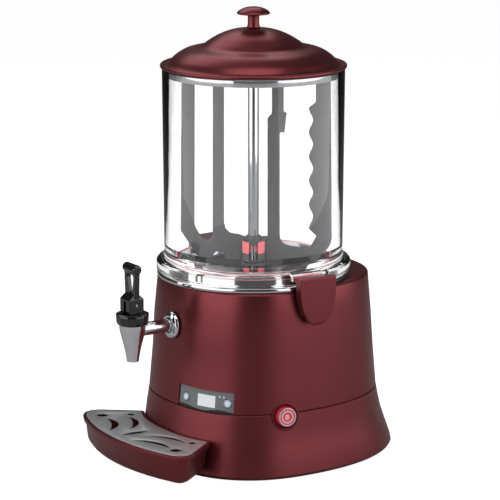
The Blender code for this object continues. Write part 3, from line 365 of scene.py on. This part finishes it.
def skinned(rings: Sequence[Sequence[Vector]], closed: bool, capped: bool) -> bmesh.types.BMesh:
    """Skin a row of rings: a circle is extruded from ring to ring and set to each in turn.

    Args:
        rings: rings with equal numbers of points.
        closed: whether the last ring joins the first.
        capped: whether the first and last rings are filled.

    Returns:
        A closed mesh in millimetres.
    """
    shape = bmesh.new()
    verts = bmesh.ops.create_circle(shape, segments=len(rings[0]), radius=1.0)["verts"]
    for vert, point in zip(verts, rings[0]):
        vert.co = point
    first = edges = list({edge for vert in verts for edge in vert.link_edges})
    if capped:
        bmesh.ops.contextual_create(shape, geom=verts)
    for ring in rings[1:]:
        grown = bmesh.ops.extrude_edge_only(shape, edges=edges)["geom"]
        fresh = [item for item in grown if isinstance(item, bmesh.types.BMVert)]
        edges = [item for item in grown if isinstance(item, bmesh.types.BMEdge)]
        # extrude keeps the verts' order, so each point goes to the copy of its own vert
        for vert, point in zip(fresh, ring):
            vert.co = point
    if closed:
        bmesh.ops.bridge_loops(shape, edges=edges + first)
    elif capped:
        bmesh.ops.contextual_create(shape, geom=edges)
    bmesh.ops.recalc_face_normals(shape, faces=shape.faces)
    return shape


def block(low: Sequence[float], high: Sequence[float], edge: float = 0.0) -> bmesh.types.BMesh:
    """Rectangular block between two corners, with bevelled edges."""
    shape = bmesh.new()
    bmesh.ops.create_cube(shape, size=1.0)
    low_corner, high_corner = Vector(low), Vector(high)
    bmesh.ops.scale(shape, vec=high_corner - low_corner, verts=shape.verts)
    bmesh.ops.translate(shape, vec=(low_corner + high_corner) / 2, verts=shape.verts)
    if edge:
        soften(shape, edge)
    return shape


def soften(shape: bmesh.types.BMesh, width: float, above: float = 30.0, segments: int = 3) -> None:
    """Bevel the edges that turn by more than an angle in degrees."""
    limit = math.radians(above)
    sharp = [edge for edge in shape.edges if edge.is_manifold and edge.calc_face_angle(0.0) > limit]
    bmesh.ops.bevel(shape, geom=sharp, offset=width, offset_type="OFFSET", segments=segments,
                    profile=0.5, affect="EDGES", material=-1, clamp_overlap=True)


def placed(shape: bmesh.types.BMesh, matrix: Matrix) -> bmesh.types.BMesh:
    """Move a shape by a matrix."""
    bmesh.ops.transform(shape, matrix=matrix, verts=shape.verts)
    return shape


def facing(point: Sequence[float], direction: Sequence[float]) -> Matrix:
    """Matrix that puts the local z axis at a point, along a direction, with local x level."""
    normal = Vector(direction).normalized()
    side = Vector((0, 0, 1)).cross(normal)
    side = side.normalized() if side.length > NEAR_ZERO else Vector((1, 0, 0))
    turn = Matrix((side, normal.cross(side), normal)).transposed().to_4x4()
    return Matrix.Translation(point) @ turn


def bench_object(shape: bmesh.types.BMesh, name: str) -> bpy.types.Object:
    """Scratch object made from a shape, which is used up."""
    mesh = bpy.data.meshes.new(name)
    shape.to_mesh(mesh)
    shape.free()
    item = bpy.data.objects.new(name, mesh)
    bpy.context.scene.collection.objects.link(item)
    return item


def carved(shape: bmesh.types.BMesh, tools: Iterable[bmesh.types.BMesh],
           operation: str = "DIFFERENCE") -> bmesh.types.BMesh:
    """Cut, join or keep a shape with other shapes.

    Args:
        shape: the piece to work on.
        tools: closed shapes, used one after another.
        operation: Blender's name of the Boolean.

    Returns:
        The worked shape.
    """
    work = bench_object(shape, "work")
    helpers = [bench_object(tool, "tool") for tool in tools]
    for helper in helpers:
        step = work.modifiers.new("carve", "BOOLEAN")
        step.operation, step.solver, step.object = operation, "EXACT", helper
    result = bmesh.new()
    bpy.context.view_layer.update()
    result.from_mesh(work.evaluated_get(bpy.context.evaluated_depsgraph_get()).to_mesh())
    for item in [work, *helpers]:
        mesh = item.data
        bpy.data.objects.remove(item)
        bpy.data.meshes.remove(mesh)
    return result


def relaxed(shape: bmesh.types.BMesh, voxel: float, passes: int) -> bmesh.types.BMesh:
    """Melt a shape's corners into each other, as in a moulded part.

    Args:
        shape: a closed shape, in millimetres.
        voxel: size of the new mesh's cells.
        passes: rounds of smoothing.

    Returns:
        The softened shape.
    """
    work = bench_object(shape, "work")
    remesh = work.modifiers.new("cells", "REMESH")
    remesh.mode, remesh.voxel_size = "VOXEL", voxel
    calm = work.modifiers.new("calm", "SMOOTH")
    calm.factor, calm.iterations = 0.5, passes
    result = bmesh.new()
    bpy.context.view_layer.update()
    result.from_mesh(work.evaluated_get(bpy.context.evaluated_depsgraph_get()).to_mesh())
    mesh = work.data
    bpy.data.objects.remove(work)
    bpy.data.meshes.remove(mesh)
    return result


def copy_of(node: str) -> bmesh.types.BMesh:
    """Merged copy of a CAD node, in millimetres about the jar's axis."""
    shape = bmesh.new()
    shape.from_mesh(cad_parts[node].data)
    placed(shape, TO_FRAME.inverted())
    bmesh.ops.remove_doubles(shape, verts=shape.verts, dist=0.002)
    bmesh.ops.dissolve_degenerate(shape, edges=shape.edges, dist=0.001)
    bmesh.ops.dissolve_limit(shape, angle_limit=math.radians(0.4), verts=shape.verts,
                             edges=shape.edges)
    return shape


def finished(name: str, shape: bmesh.types.BMesh, body: str, finish: Finish,
             stands_for: Sequence[str] = (), crease: float = 35.0) -> bpy.types.Object:
    """Turn a shape into a finished piece that rides on its body.

    Args:
        name: name of the piece.
        shape: mesh in millimetres about the jar's axis; it is used up.
        body: CAD body that the piece rides on.
        finish: its finish.
        stands_for: CAD nodes that it replaces.
        crease: edges that turn by more than this many degrees stay crisp.

    Returns:
        The finished object.
    """
    placed(shape, TO_FRAME)
    mesh = bpy.data.meshes.new(name)
    shape.to_mesh(mesh)
    shape.free()
    mesh.shade_smooth()
    mesh.set_sharp_from_angle(angle=math.radians(crease))
    piece = bpy.data.objects.new(name, mesh)
    bpy.context.scene.collection.objects.link(piece)
    mesh.materials.append(finish.material())
    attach(piece, body)
    if stands_for:
        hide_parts(*stands_for)
    log.info("%s: %d faces on %s, %s", name, len(mesh.polygons), body, finish.name)
    return piece


# ------------------------------------------------------------------ casing

@dataclass
class Casing:
    """Flared upper housing, foot skirt and the deck that carries the pan."""

    stations: tuple[tuple[float, float, float, float], ...] = (
        (2.0, 138.5, 134.5, 187.0), (7.0, 142.0, 138.0, 190.0), (15.0, 141.0, 137.0, 188.0),
        (26.0, 139.5, 136.0, 183.5), (52.0, 135.5, 132.8, 173.5), (67.0, 134.0, 130.8, 169.5),
        (85.0, 132.5, 127.5, 165.5), (140.0, 129.5, 122.0, 160.5), (187.0, 127.5, 119.5, 157.0),
        (237.0, 124.5, 114.0, 152.5))
    front_squareness: float = 2.4
    back_squareness: float = 2.15
    seam_z: float = 85.0
    deck_z: float = 237.0
    deck_hole: float = 108.0
    sheet: float = 3.0
    facets: int = 240
    panel_angles: tuple[float, float] = (6.9, 46.7)
    panel_top: float = 112.2
    switch_angle: float = 78.1
    switch_z: float = 81.5
    switch_hole: float = 18.5
    shank_z: float = 183.5
    shank_hole: float = 9.2

    def sizes(self, height: float) -> list[float]:
        """Half width, front depth and back depth of the plan at a height."""
        for lower, upper in zip(self.stations, self.stations[1:]):
            if height <= upper[0]:
                break
        share = (height - lower[0]) / (upper[0] - lower[0])
        return [a + (b - a) * share for a, b in zip(lower[1:], upper[1:])]

    def point(self, angle: float, height: float, offset: float = 0.0) -> Vector:
        """Point of the wall; angle in radians from the front towards +X, offset outwards."""
        half_width, front, back = (size + offset for size in self.sizes(height))
        across, forward = math.sin(angle), math.cos(angle)
        power = 2 / (self.front_squareness if forward >= 0 else self.back_squareness)
        depth = -front if forward >= 0 else back
        return Vector((math.copysign(abs(across) ** power, across) * half_width,
                       depth * abs(forward) ** power, height))

    def normal(self, angle: float, height: float) -> Vector:
        """Outward direction of the wall."""
        around = self.point(angle + 0.01, height) - self.point(angle - 0.01, height)
        upward = self.point(angle, height + 1.0) - self.point(angle, height - 1.0)
        return around.cross(upward).normalized()

    def spot(self, angle_degrees: float, height: float) -> Matrix:
        """Frame on the wall with its z axis outwards."""
        angle = math.radians(angle_degrees)
        return facing(self.point(angle, height), self.normal(angle, height))

    def ring(self, height: float, offset: float = 0.0) -> list[Vector]:
        """Ring of the wall at a height."""
        return [self.point(FULL_TURN * step / self.facets, height, offset)
                for step in range(self.facets)]

    def circle(self, radius: float, height: float) -> list[Vector]:
        """Round ring with the wall's number of points."""
        steps = (FULL_TURN * step / self.facets for step in range(self.facets))
        return [Vector((radius * math.sin(a), -radius * math.cos(a), height)) for a in steps]

    def patch(self, angles: tuple[float, float], low: float | Callable[[float], float],
              high: float | Callable[[float], float], inner: float, outer: float,
              steps: int = 48) -> bmesh.types.BMesh:
        """Strip that follows the wall.

        Args:
            angles: start and end in degrees from the front.
            low: lower edge, or a function of the share along the strip.
            high: upper edge, or such a function.
            inner: inner offset from the wall.
            outer: outer offset.
            steps: facets along it.

        Returns:
            A closed strip in millimetres.
        """
        start, end = (math.radians(angle) for angle in angles)
        rings = []
        for step in range(steps + 1):
            share = step / steps
            angle = start + (end - start) * share
            bottom = low(share) if callable(low) else low
            top = high(share) if callable(high) else high
            rings.append([self.point(angle, bottom, inner), self.point(angle, bottom, outer),
                          self.point(angle, top, outer), self.point(angle, top, inner)])
        return skinned(rings, closed=False, capped=True)

    def build(self) -> None:
        """Make the housing with its windows, then the skirt."""
        top, seam = self.deck_z, self.seam_z
        outer = [self.ring(z) for z in (seam + 0.9, 100.0, 120.0, 140.0, 165.0, 187.0, 212.0)]
        outer.insert(0, self.ring(seam + 0.15, -0.8))
        edge = [self.ring(top - 2.8 + 2.8 * math.sin(a), -2.8 * (1 - math.cos(a)))
                for a in (math.pi / 2 * step / 5 for step in range(6))]
        deck = [self.circle(self.deck_hole, top), self.circle(self.deck_hole, top - self.sheet)]
        inner = [self.ring(z, -self.sheet) for z in (top - self.sheet, 187.0, 140.0, seam + 0.15)]
        shell = skinned(outer + edge + deck + inner, closed=True, capped=False)
        shank = placed(turned(((0, 0), (self.shank_hole, 0), (self.shank_hole, 40), (0, 40)), 48),
                       facing((0.0, -149.0, self.shank_z), (0, 1, 0)))
        window = self.patch(self.panel_angles, seam - 3, self.panel_top + 0.4, -8.0, 7.0)
        shell = carved(shell, [window, self.switch_bore(), shank])
        finished("upper_housing", shell, "base", BURGUNDY, ["housing_shell"])

        lower = [self.ring(z) for z in (7.0, 10.0, 15.0, 26.0, 39.0, 52.0, 67.0, seam - 1.1)]
        lower += [self.ring(seam - 0.35, -0.8)]
        lower = [self.ring(2.0, -1.0), self.ring(3.2, 0.0)] + lower
        inside = [self.ring(z, -self.sheet) for z in (seam - 0.35, 52.0, 26.0, 7.7)]
        inside += [self.ring(7.7, -16.0), self.ring(4.7, -16.0), self.ring(4.7, -self.sheet),
                   self.ring(2.0, -self.sheet)]
        skirt = skinned(lower + inside, closed=True, capped=False)
        slots = [block((x - 8.6, -160.0, 19.4), (x + 8.6, -118.0, 24.6)) for x in (-40.0, 40.0)]
        inlet = placed(turned(((0, -20), (6.6, -20), (6.6, 20), (0, 20)), 32),
                       facing(self.point(math.pi, 64.0), self.normal(math.pi, 64.0)))
        skirt = carved(skirt, [self.switch_bore(), inlet, *slots])
        finished("foot_skirt", skirt, "base", BURGUNDY, ["base_skirt"])

    def switch_bore(self) -> bmesh.types.BMesh:
        """Tool for the round hole across the seam that takes the switch."""
        hole = turned(((0, -12), (self.switch_hole, -12), (self.switch_hole, 12), (0, 12)), 72)
        return placed(hole, self.spot(self.switch_angle, self.switch_z))


# ------------------------------------------------------------------ vessel

@dataclass
class Vessel:
    """Polished pan, clear jar and the red seal between them."""

    pan_rim: tuple[float, float] = (237.3, 243.3)
    pan_radius: float = 123.5
    upstand: tuple[float, float] = (103.0, 254.2)
    outlet_y: float = -80.0
    pocket_y: tuple[float, float] = (-19.0, 35.5)

    def build(self) -> None:
        """Make the pan, the jar with its latch pockets, and the seal."""
        low, high = self.pan_rim
        radius, (wall, top) = self.pan_radius, self.upstand
        pan = ((13.0, 241.5), (96.5, 241.5), (100.5, low + 3.3), (107.4, low), (radius, low),
               (radius + 0.4, low + 3.0), (radius - 0.5, high), (wall, high), (wall, top),
               (wall - 1.5, top), (wall - 1.5, 243.5), (13.0, 243.5))
        outlet = turned(((0, 234), (9.4, 234), (9.4, 250), (0, 250)), 48, (0.0, self.outlet_y))
        shape = carved(turned(rounded(pan, 1.6)), [outlet])
        finished("polished_pan", shape, "base", POLISHED_STEEL, ["product_pan"])

        jar = ((112.0, 503.0), (116.0, 503.0), (114.2, 268.0), (115.2, 262.5), (118.5, 259.4),
               (122.5, 258.2), (124.5, 255.6), (124.5, 246.0), (123.0, 243.8), (107.2, 243.8),
               (107.2, 254.6), (103.4, 254.6), (103.6, 257.0), (106.0, 262.5), (109.0, 270.0),
               (110.4, 278.0))
        first, last = self.pocket_y
        pockets = [block((x, first, 250.0), (x + 17.2, last, 275.0), 1.0) for x in (-132.0, 114.8)]
        finished("clear_jar", carved(turned(rounded(jar, 1.2)), pockets), "base", CLEAR, ["jar"])

        seal = ((103.3, 251.5), (106.8, 251.5), (106.8, 254.2), (103.3, 254.2))
        finished("red_jar_seal", turned(rounded(seal, 0.8)), "base", RED_SILICONE, ["jar_seal"])


@dataclass
class Column:
    """Bright centre tube with its collar and clip-on red sleeve."""

    clip_turn: float = math.radians(58.0)
    clip_half: float = 5.8
    ribs: int = 28

    def opening(self) -> bmesh.types.BMesh:
        """Tool for the slot up the front of the collar and the sleeve."""
        slot = block((-self.clip_half, -20.0, 245.3), (self.clip_half, 0.0, 280.0))
        return placed(slot, Matrix.Rotation(self.clip_turn, 4, "Z"))

    def build(self) -> None:
        """Make the tube, the collar and the ribbed sleeve."""
        tube = ((5.8, 150.0), (7.0, 150.0), (7.0, 488.0), (5.8, 488.0))
        finished("bright_column", turned(rounded(tube, 0.4), SMALL_STEPS), "base", CHROME,
                 ["column_tube"])
        nut = ((7.4, 235.0), (12.6, 235.0), (12.6, 243.8), (14.6, 243.8), (14.6, 261.8),
               (7.4, 261.8))
        shape = carved(turned(rounded(nut, 0.5), SMALL_STEPS), [self.opening()])
        finished("grey_collar", shape, "base", PADDLE_NYLON, ["column_nut"])
        sleeve = ((7.4, 262.2), (14.7, 262.2), (14.7, 276.0), (10.2, 276.0), (10.2, 271.8),
                  (7.4, 271.8))
        shape = turned(rounded(sleeve, 0.5), self.ribs * 4)
        for vert in shape.verts:
            radius, angle = vert.co.to_2d().length, math.atan2(vert.co.y, vert.co.x)
            if radius > 14.0:
                vert.co.xy *= 1 - 0.4 * (0.5 + 0.5 * math.cos(self.ribs * angle)) / radius
        shape = carved(shape, [self.opening()])
        finished("red_sleeve", shape, "base", RED_SILICONE, ["column_seal"])


# ------------------------------------------------------------------ lid

@dataclass
class Lid:
    """Two-step domed lid with a rolled rim, a steel ring under it and a mushroom knob."""

    knob_top: float = 580.0

    def build(self) -> None:
        """Make the dome, the ring and the knob."""
        dome = flowing(((2.4, 554.0), (26.0, 551.0), (44.0, 544.6), (58.0, 536.4), (67.0, 530.4),
                        (84.0, 526.6), (93.0, 522.6), (101.5, 516.4), (107.4, 509.8)))
        roll = flowing(((110.2, 506.9), (112.8, 506.7), (116.0, 508.2), (118.2, 507.2),
                        (118.2, 504.6), (117.0, 503.5)), 4)
        inside = flowing(((106.0, 503.5), (92.0, 518.6), (66.0, 527.2), (56.0, 533.8),
                          (42.5, 541.8), (25.0, 548.0), (2.4, 551.0)))
        finished("domed_lid", turned(dome + roll + inside), "lid", BURGUNDY, ["lid_shell"], 48.0)
        ring = ((110.2, 493.5), (111.6, 493.5), (111.6, 503.1), (110.2, 503.1))
        finished("lid_ring", turned(rounded(ring, 0.5)), "lid", POLISHED_STEEL, ["lid_collar"])
        cap = flowing(((0.0, self.knob_top), (8.0, 579.4), (14.5, 577.3), (19.2, 574.4),
                       (21.0, 572.0), (20.2, 570.7)), 5)
        stem = flowing(((15.0, 570.3), (9.4, 570.6), (7.5, 568.6), (7.2, 562.0), (7.3, 558.0),
                        (8.2, 554.4)), 4)
        knob = cap + stem + [(2.3, 554.4), (2.3, 566.0), (0.0, 566.0)]
        finished("lid_knob_cap", turned(knob, 96), "lid", BURGUNDY, ["lid_knob"])


# ------------------------------------------------------------------ tap

@dataclass
class Tap:
    """Chrome tap with a black bonnet and a loop lever."""

    y: float = -179.0
    top_z: float = 192.0
    shank_z: float = 183.5
    shank_radius: float = 8.5
    shank_end_y: float = -102.4
    wall_y: float = -120.9
    flutes: int = 12

    def build(self, casing: Casing) -> None:
        """Make the body, the flange, the bonnet and the lever."""
        outside = flowing(((16.9, self.top_z - 0.4), (16.5, 186.0), (14.4, 176.0), (11.7, 166.0),
                           (9.7, 157.0), (8.3, 149.0), (7.8, 144.4)), 4)
        inside = flowing(((6.2, 144.0), (6.3, 152.0), (7.8, 158.5), (9.8, 167.0), (12.4, 176.0),
                          (14.6, 186.0), (14.8, self.top_z)), 3)
        cone = turned(outside + [(7.4, 144.0)] + inside + [(16.4, self.top_z)], 96, (0.0, self.y))
        start = self.y + 12.7
        run = self.shank_end_y - start
        thick = self.shank_radius
        pipe = self.along_y(((0, 0), (thick, 0), (thick, run), (0, run)), start)
        bore = self.along_y(((0, -6), (5.2, -6), (5.2, run + 4), (0, run + 4)), start)
        body = carved(carved(cone, [pipe], "UNION"), [bore])
        finished("chrome_tap_body", body, "base", CHROME, ["tap_body"], 50.0)

        dome = rounded(((9.3, 0.0), (17.4, 0.0), (17.6, 1.8), (16.2, 4.6), (12.6, 6.4),
                        (9.3, 6.6)), 2.5)
        wall = facing((0.0, self.wall_y, self.shank_z), casing.normal(0.0, self.shank_z))
        flange = placed(turned(dome, 96), wall)
        finished("chrome_wall_flange", flange, "base", CHROME, ["tap_flange"], 60.0)

        bonnet = rounded(((3.0, 190.4), (12.0, 190.4), (12.0, 192.3), (18.9, 192.3), (20.8, 196.5),
                          (21.3, 203.0), (21.0, 205.6), (19.4, 206.5), (3.0, 206.5)), 1.2)
        shape = turned(bonnet, self.flutes * 12, (0.0, self.y))
        for vert in shape.verts:
            arm = Vector((vert.co.x, vert.co.y - self.y))
            if arm.length > 17.5 and vert.co.z < 205.0:
                facet = (math.atan2(arm.y, arm.x) * self.flutes / FULL_TURN + 100.5) % 1.0 - 0.5
                flat = math.cos(math.pi / self.flutes) / math.cos(facet * FULL_TURN / self.flutes)
                vert.co.xy -= arm * (1 - flat) * 0.8
        finished("black_bonnet", shape, "base", BLACK_GLOSS, ["tap_bonnet"], 12.0)

        lever = relaxed(copy_of("tap_handle"), 0.42, 7)
        finished("black_lever", lever, "tap_lever", BLACK_GLOSS, ["tap_handle"], 80.0)

    def along_y(self, outline: Profile, start_y: float) -> bmesh.types.BMesh:
        """Turn an outline about the shank's axis, heights measured behind start_y."""
        return placed(turned(outline, SMALL_STEPS), facing((0.0, start_y, self.shank_z), (0, 1, 0)))


# ------------------------------------------------------------------ drip tray

@dataclass
class DripTray:
    """Tub with an overhanging lip, and its brushed grille."""

    lip_edge: float = 0.7
    sheet_edge: float = 0.3

    def build(self) -> None:
        """Give the tub and the grille softened edges."""
        tub = copy_of("drip_tray")
        soften(tub, self.lip_edge, 32.0, 2)
        finished("tray_tub", tub, "tray", BURGUNDY, ["drip_tray"], 50.0)
        grille = copy_of("drip_grille")
        soften(grille, self.sheet_edge, 50.0, 2)
        finished("brushed_grille", grille, "grille", BRUSHED_STEEL, ["drip_grille"])


@dataclass
class Latches:
    """Tongue-shaped latches that hold the jar."""

    voxel: float = 0.55
    passes: int = 6

    def build(self) -> None:
        """Soften each latch's edges as moulded parts have them."""
        for side in ("right", "left"):
            shape = relaxed(copy_of(f"latch_{side}"), self.voxel, self.passes)
            finished(f"{side}_jar_latch", shape, f"{side}_latch", BURGUNDY, [f"latch_{side}"], 80.0)


@dataclass
class Agitator:
    """Flat paddle that turns round the column."""

    edge: float = 0.4

    def build(self) -> None:
        """Soften the paddle's edges."""
        shape = copy_of("paddle")
        soften(shape, self.edge, 50.0, 2)
        finished("grey_paddle", shape, "agitator", PADDLE_NYLON, ["paddle"])


# ------------------------------------------------------------------ controls

@dataclass
class Controls:
    """Fascia with a display and two buttons, and the round switch on the seam."""

    button_angles: tuple[tuple[str, float], ...] = (("left", 12.2), ("right", 42.3))
    button_z: float = 98.4
    button_radius: float = 5.4
    display_angles: tuple[float, float] = (21.4, 34.0)
    display_z: tuple[float, float] = (91.3, 106.3)
    wave_height: float = 3.2
    switch_radius: float = 18.0
    cap_radius: float = 12.4

    def build(self, casing: Casing) -> None:
        """Make the fascia, its print, the buttons and the switch."""
        start, end = casing.panel_angles
        fascia = casing.patch((start + 0.2, end - 0.2), casing.seam_z + 0.3, casing.panel_top,
                              -4.5, -1.8)
        holes = [placed(turned(((0, -12), (5.9, -12), (5.9, 8), (0, 8)), 48),
                        casing.spot(angle, self.button_z)) for _, angle in self.button_angles]
        finished("grey_fascia", carved(fascia, holes), "base", PANEL_FILM, ["control_panel"])
        window = casing.patch(self.display_angles, *self.display_z, -1.5, -0.9, 24)
        # the window's even glow is painted light
        finished("pale_display", window, "base", DISPLAY_PAINTED_GLOW, ["display_window"])
        wave = casing.patch((start + 0.4, end - 0.4), casing.seam_z + 0.35,
                            lambda s: casing.seam_z + 0.9 + self.wave_height
                            * (0.55 + 0.45 * math.sin(FULL_TURN * (1.5 * s + 0.1))), -1.79, -1.66)
        finished("dark_wave_print", wave, "base", PANEL_INK)
        # the status marks carry the button centres' painted glow
        for number, angle in enumerate((36.8, 39.6), 1):
            mark = casing.patch((angle - 0.55, angle + 0.55), 104.9, 106.7, -1.79, -1.66, 4)
            finished(f"status_mark_{number}", mark, "base", BUTTON_WHITE_PAINTED_GLOW)
        for side, angle in self.button_angles:
            self.button(side, casing.spot(angle, self.button_z))
        self.switch(casing.spot(casing.switch_angle, casing.switch_z))

    def button(self, side: str, spot: Matrix) -> None:
        """Make one push button: a plated ring with a white centre."""
        r = self.button_radius
        ring = rounded(((0.0, -1.2), (r - 1.9, -1.2), (r - 1.9, -0.7), (r - 0.7, -0.7), (r, -1.3),
                        (r, -5.4), (2.0, -5.4), (2.0, -8.5), (0.0, -8.5)), 0.3)
        finished(f"{side}_button_ring", placed(turned(ring, 48), spot), f"{side}_button",
                 BUTTON_RING, [f"button_{side}"])
        dot = ((0.0, -0.55), (r - 2.6, -0.65), (r - 2.05, -0.9), (r - 2.05, -1.18), (0.0, -1.18))
        # the white centre shines with a faint painted glow
        finished(f"{side}_button_centre", placed(turned(dot, 48), spot), f"{side}_button",
                 BUTTON_WHITE_PAINTED_GLOW)

    def switch(self, spot: Matrix) -> None:
        """Make the dished bezel and the lit cap with its rings."""
        r, well = self.switch_radius, self.cap_radius + 0.6
        bezel = rounded(((well, -4.0), (r, -4.0), (r, 0.3), (r - 1.2, 0.8), (well + 1.2, -1.4),
                         (well, -2.0)), 0.5)
        finished("switch_dish", placed(turned(bezel, 96), spot), "base", BURGUNDY, ["switch_bezel"])
        cap_r = self.cap_radius
        cap = rounded(((0.0, 5.6), (5.2, 5.6), (5.4, 6.6), (9.4, 6.6), (10.6, 6.2),
                       (cap_r - 0.3, 5.4), (cap_r, 4.2), (cap_r, -12.0), (0.0, -12.0)), 0.4)
        finished("lit_switch_cap", placed(turned(cap, 96), spot), "power_cap", RED_LENS,
                 ["switch_cap"])
        for name, (inner, outer), low, high, finish in (
                ("switch_metal_ring", (9.9, 11.6), 5.0, 7.0, BUTTON_RING),
                ("switch_pale_ring", (6.0, 8.2), 6.5, 6.9, LENS_PALE),
                ("switch_pale_dot", (0.0, 3.4), 5.5, 6.2, LENS_PALE)):
            ring = rounded(((inner, low), (outer, low), (outer, high), (inner, high)), 0.3)
            finished(name, placed(turned(ring, 72), spot), "power_cap", finish)


# ------------------------------------------------------------------ CAD nodes that stay

@dataclass
class CarriedOver:
    """CAD nodes whose shape is right, which only get their finish."""

    finish_of_node: tuple[tuple[Finish, tuple[str, ...]], ...] = (
        (BRUSHED_STEEL, ("base_plate", "base_screw_1", "base_screw_2", "base_screw_3",
                         "base_screw_4", "water_tank", "motor_bracket", "motor_can", "heater_ring",
                         "outlet_elbow", "lid_knob_screw")),
        (POLISHED_STEEL, ("drive_shaft", "tap_stem", "tap_pin", "latch_pin_left",
                          "latch_pin_right")),
        (BRASS, ("tap_nut", "temperature_probe", "pinion")),
        (BLACK_GLOSS, ("switch_body", "gearbox_case", "gearbox_cover", "cable_gland")),
        (RUBBER, ("foot_1", "foot_2", "foot_3", "foot_4")),
        (WHITE_NYLON, ("bush_upper", "bush_lower", "output_gear", "thermostat")),
        (RED_SILICONE, ("tap_seat_cup",)),
        (BOARD, ("control_board",)),
    )

    def dress(self) -> None:
        """Assign the finishes."""
        for finish, names in self.finish_of_node:
            for name in names:
                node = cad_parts[name]
                node.data.materials.clear()
                node.data.materials.append(finish.material())
                log.info("%s: carried over, %s", name, finish.name)


# ------------------------------------------------------------------ studio

@dataclass
class Studio:
    """Pale floor, soft lights and the camera."""

    camera_bearing: float = math.radians(58.0)   # from the front towards +X
    distance: float = 3.2645
    height: float = 0.9763
    tilt: float = math.radians(12.268)
    lens: float = 187.35
    aside: float = 0.00439                       # the camera stands a little to the left
    floor_half: float = 6.0

    def axes(self) -> tuple[Vector, Vector]:
        """Level directions to the camera's right and towards the camera."""
        a = self.camera_bearing
        return Vector((math.cos(a), math.sin(a), 0)), Vector((math.sin(a), -math.cos(a), 0))

    def build(self) -> None:
        """Set up everything that isn't the object."""
        self.camera()
        self.floor()
        self.world()
        for name, bearing, elevation, size, power in (
                ("left_softbox", -62.0, 10.0, (2.9, 2.4), 34.0),
                ("right_softbox", 70.0, 10.0, (3.2, 2.4), 38.0),
                ("top_softbox", 0.0, 68.0, (1.6, 1.0), 9.0),
                ("back_softbox", -160.0, 52.0, (1.7, 1.1), 8.0)):
            self.softbox(name, math.radians(bearing), math.radians(elevation), size, power)

    def camera(self) -> None:
        """Put the camera at the wanted view."""
        right, to = self.axes()
        forward = -to * math.cos(self.tilt) - Vector((0, 0, math.sin(self.tilt)))
        up = right.cross(forward)
        data = bpy.data.cameras.new("camera")
        data.lens, data.sensor_width, data.clip_end = self.lens, 36.0, 60.0
        item = bpy.data.objects.new("camera", data)
        bpy.context.scene.collection.objects.link(item)
        place = Vector((0, AXIS_Y, self.height)) + to * self.distance - right * self.aside
        item.matrix_world = (Matrix.Translation(place)
                             @ Matrix((right, up, -forward)).transposed().to_4x4())
        bpy.context.scene.camera = item

    def softbox(self, name: str, bearing: float, elevation: float, size: tuple[float, float],
                power: float) -> None:
        """Hang a large soft light.

        Args:
            name: name of the light.
            bearing: angle from the camera's side towards its right.
            elevation: angle above the object's middle.
            size: width and height in metres.
            power: watts.
        """
        right, to = self.axes()
        level = to * math.cos(bearing) + right * math.sin(bearing)
        direction = level * math.cos(elevation) + Vector((0, 0, math.sin(elevation)))
        data = bpy.data.lights.new(name, "AREA")
        data.shape, data.size, data.size_y, data.energy = "RECTANGLE", *size, power
        item = bpy.data.objects.new(name, data)
        bpy.context.scene.collection.objects.link(item)
        item.location = Vector((0, AXIS_Y, MIDDLE_Z)) + direction * LIGHT_REACH
        item.rotation_mode = "QUATERNION"
        item.rotation_quaternion = direction.to_track_quat("Z", "Y")
        item.visible_camera = False

    def seen(self, tree: bpy.types.NodeTree) -> bpy.types.NodeSocket:
        """1 for what the eye meets, straight or through the clear jar, and 0 for reflections."""
        rays = add_node(tree, "ShaderNodeLightPath")
        return add_node(tree, "ShaderNodeMath", {"operation": "MAXIMUM"},
                        {0: rays.outputs["Is Camera Ray"],
                         1: rays.outputs["Is Transmission Ray"]}).outputs[0]

    def floor(self) -> None:
        """Lay a pale matt floor."""
        shape = bmesh.new()
        bmesh.ops.create_grid(shape, x_segments=1, y_segments=1, size=self.floor_half)
        mesh = bpy.data.meshes.new("floor")
        shape.to_mesh(mesh)
        shape.free()
        item = bpy.data.objects.new("floor", mesh)
        bpy.context.scene.collection.objects.link(item)
        paint = bpy.data.materials.new("pale_floor_paint")
        paint.use_nodes = True
        tree = paint.node_tree
        tree.nodes.clear()
        matt = add_node(tree, "ShaderNodeBsdfDiffuse", None, {"Color": linear("#bdbdbf")})
        white = add_node(tree, "ShaderNodeEmission", None, {"Strength": 0.95})
        bright = add_node(tree, "ShaderNodeAddShader", None,
                          {0: matt.outputs[0], 1: white.outputs[0]})
        mix = add_node(tree, "ShaderNodeMixShader", None,
                       {0: self.seen(tree), 1: matt.outputs[0], 2: bright.outputs[0]})
        add_node(tree, "ShaderNodeOutputMaterial", None, {"Surface": mix.outputs[0]})
        mesh.materials.append(paint)

    def world(self) -> None:
        """White room for the eye, and a dim one for reflections."""
        world = bpy.data.worlds.new("studio")
        bpy.context.scene.world = world
        world.use_nodes = True
        tree = world.node_tree
        tree.nodes.clear()
        white = add_node(tree, "ShaderNodeBackground", None,
                         {"Color": (1, 1, 1, 1), "Strength": 1.0})
        dim = add_node(tree, "ShaderNodeBackground", None,
                       {"Color": linear("#c9cbd0"), "Strength": 0.07})
        mix = add_node(tree, "ShaderNodeMixShader", None,
                       {0: self.seen(tree), 1: dim.outputs[0], 2: white.outputs[0]})
        add_node(tree, "ShaderNodeOutputWorld", None, {"Surface": mix.outputs[0]})


def main() -> None:
    """Build every piece, dress the rest and light the scene."""
    logging.basicConfig(level=logging.INFO, format="%(name)s %(message)s")
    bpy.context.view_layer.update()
    casing = Casing()
    casing.build()
    Vessel().build()
    Column().build()
    Lid().build()
    Tap().build(casing)
    DripTray().build()
    Latches().build()
    Agitator().build()
    Controls().build(casing)
    CarriedOver().dress()
    Studio().build()
    bpy.context.scene.view_settings.view_transform = "Standard"


if __name__ == "__main__":
    main()
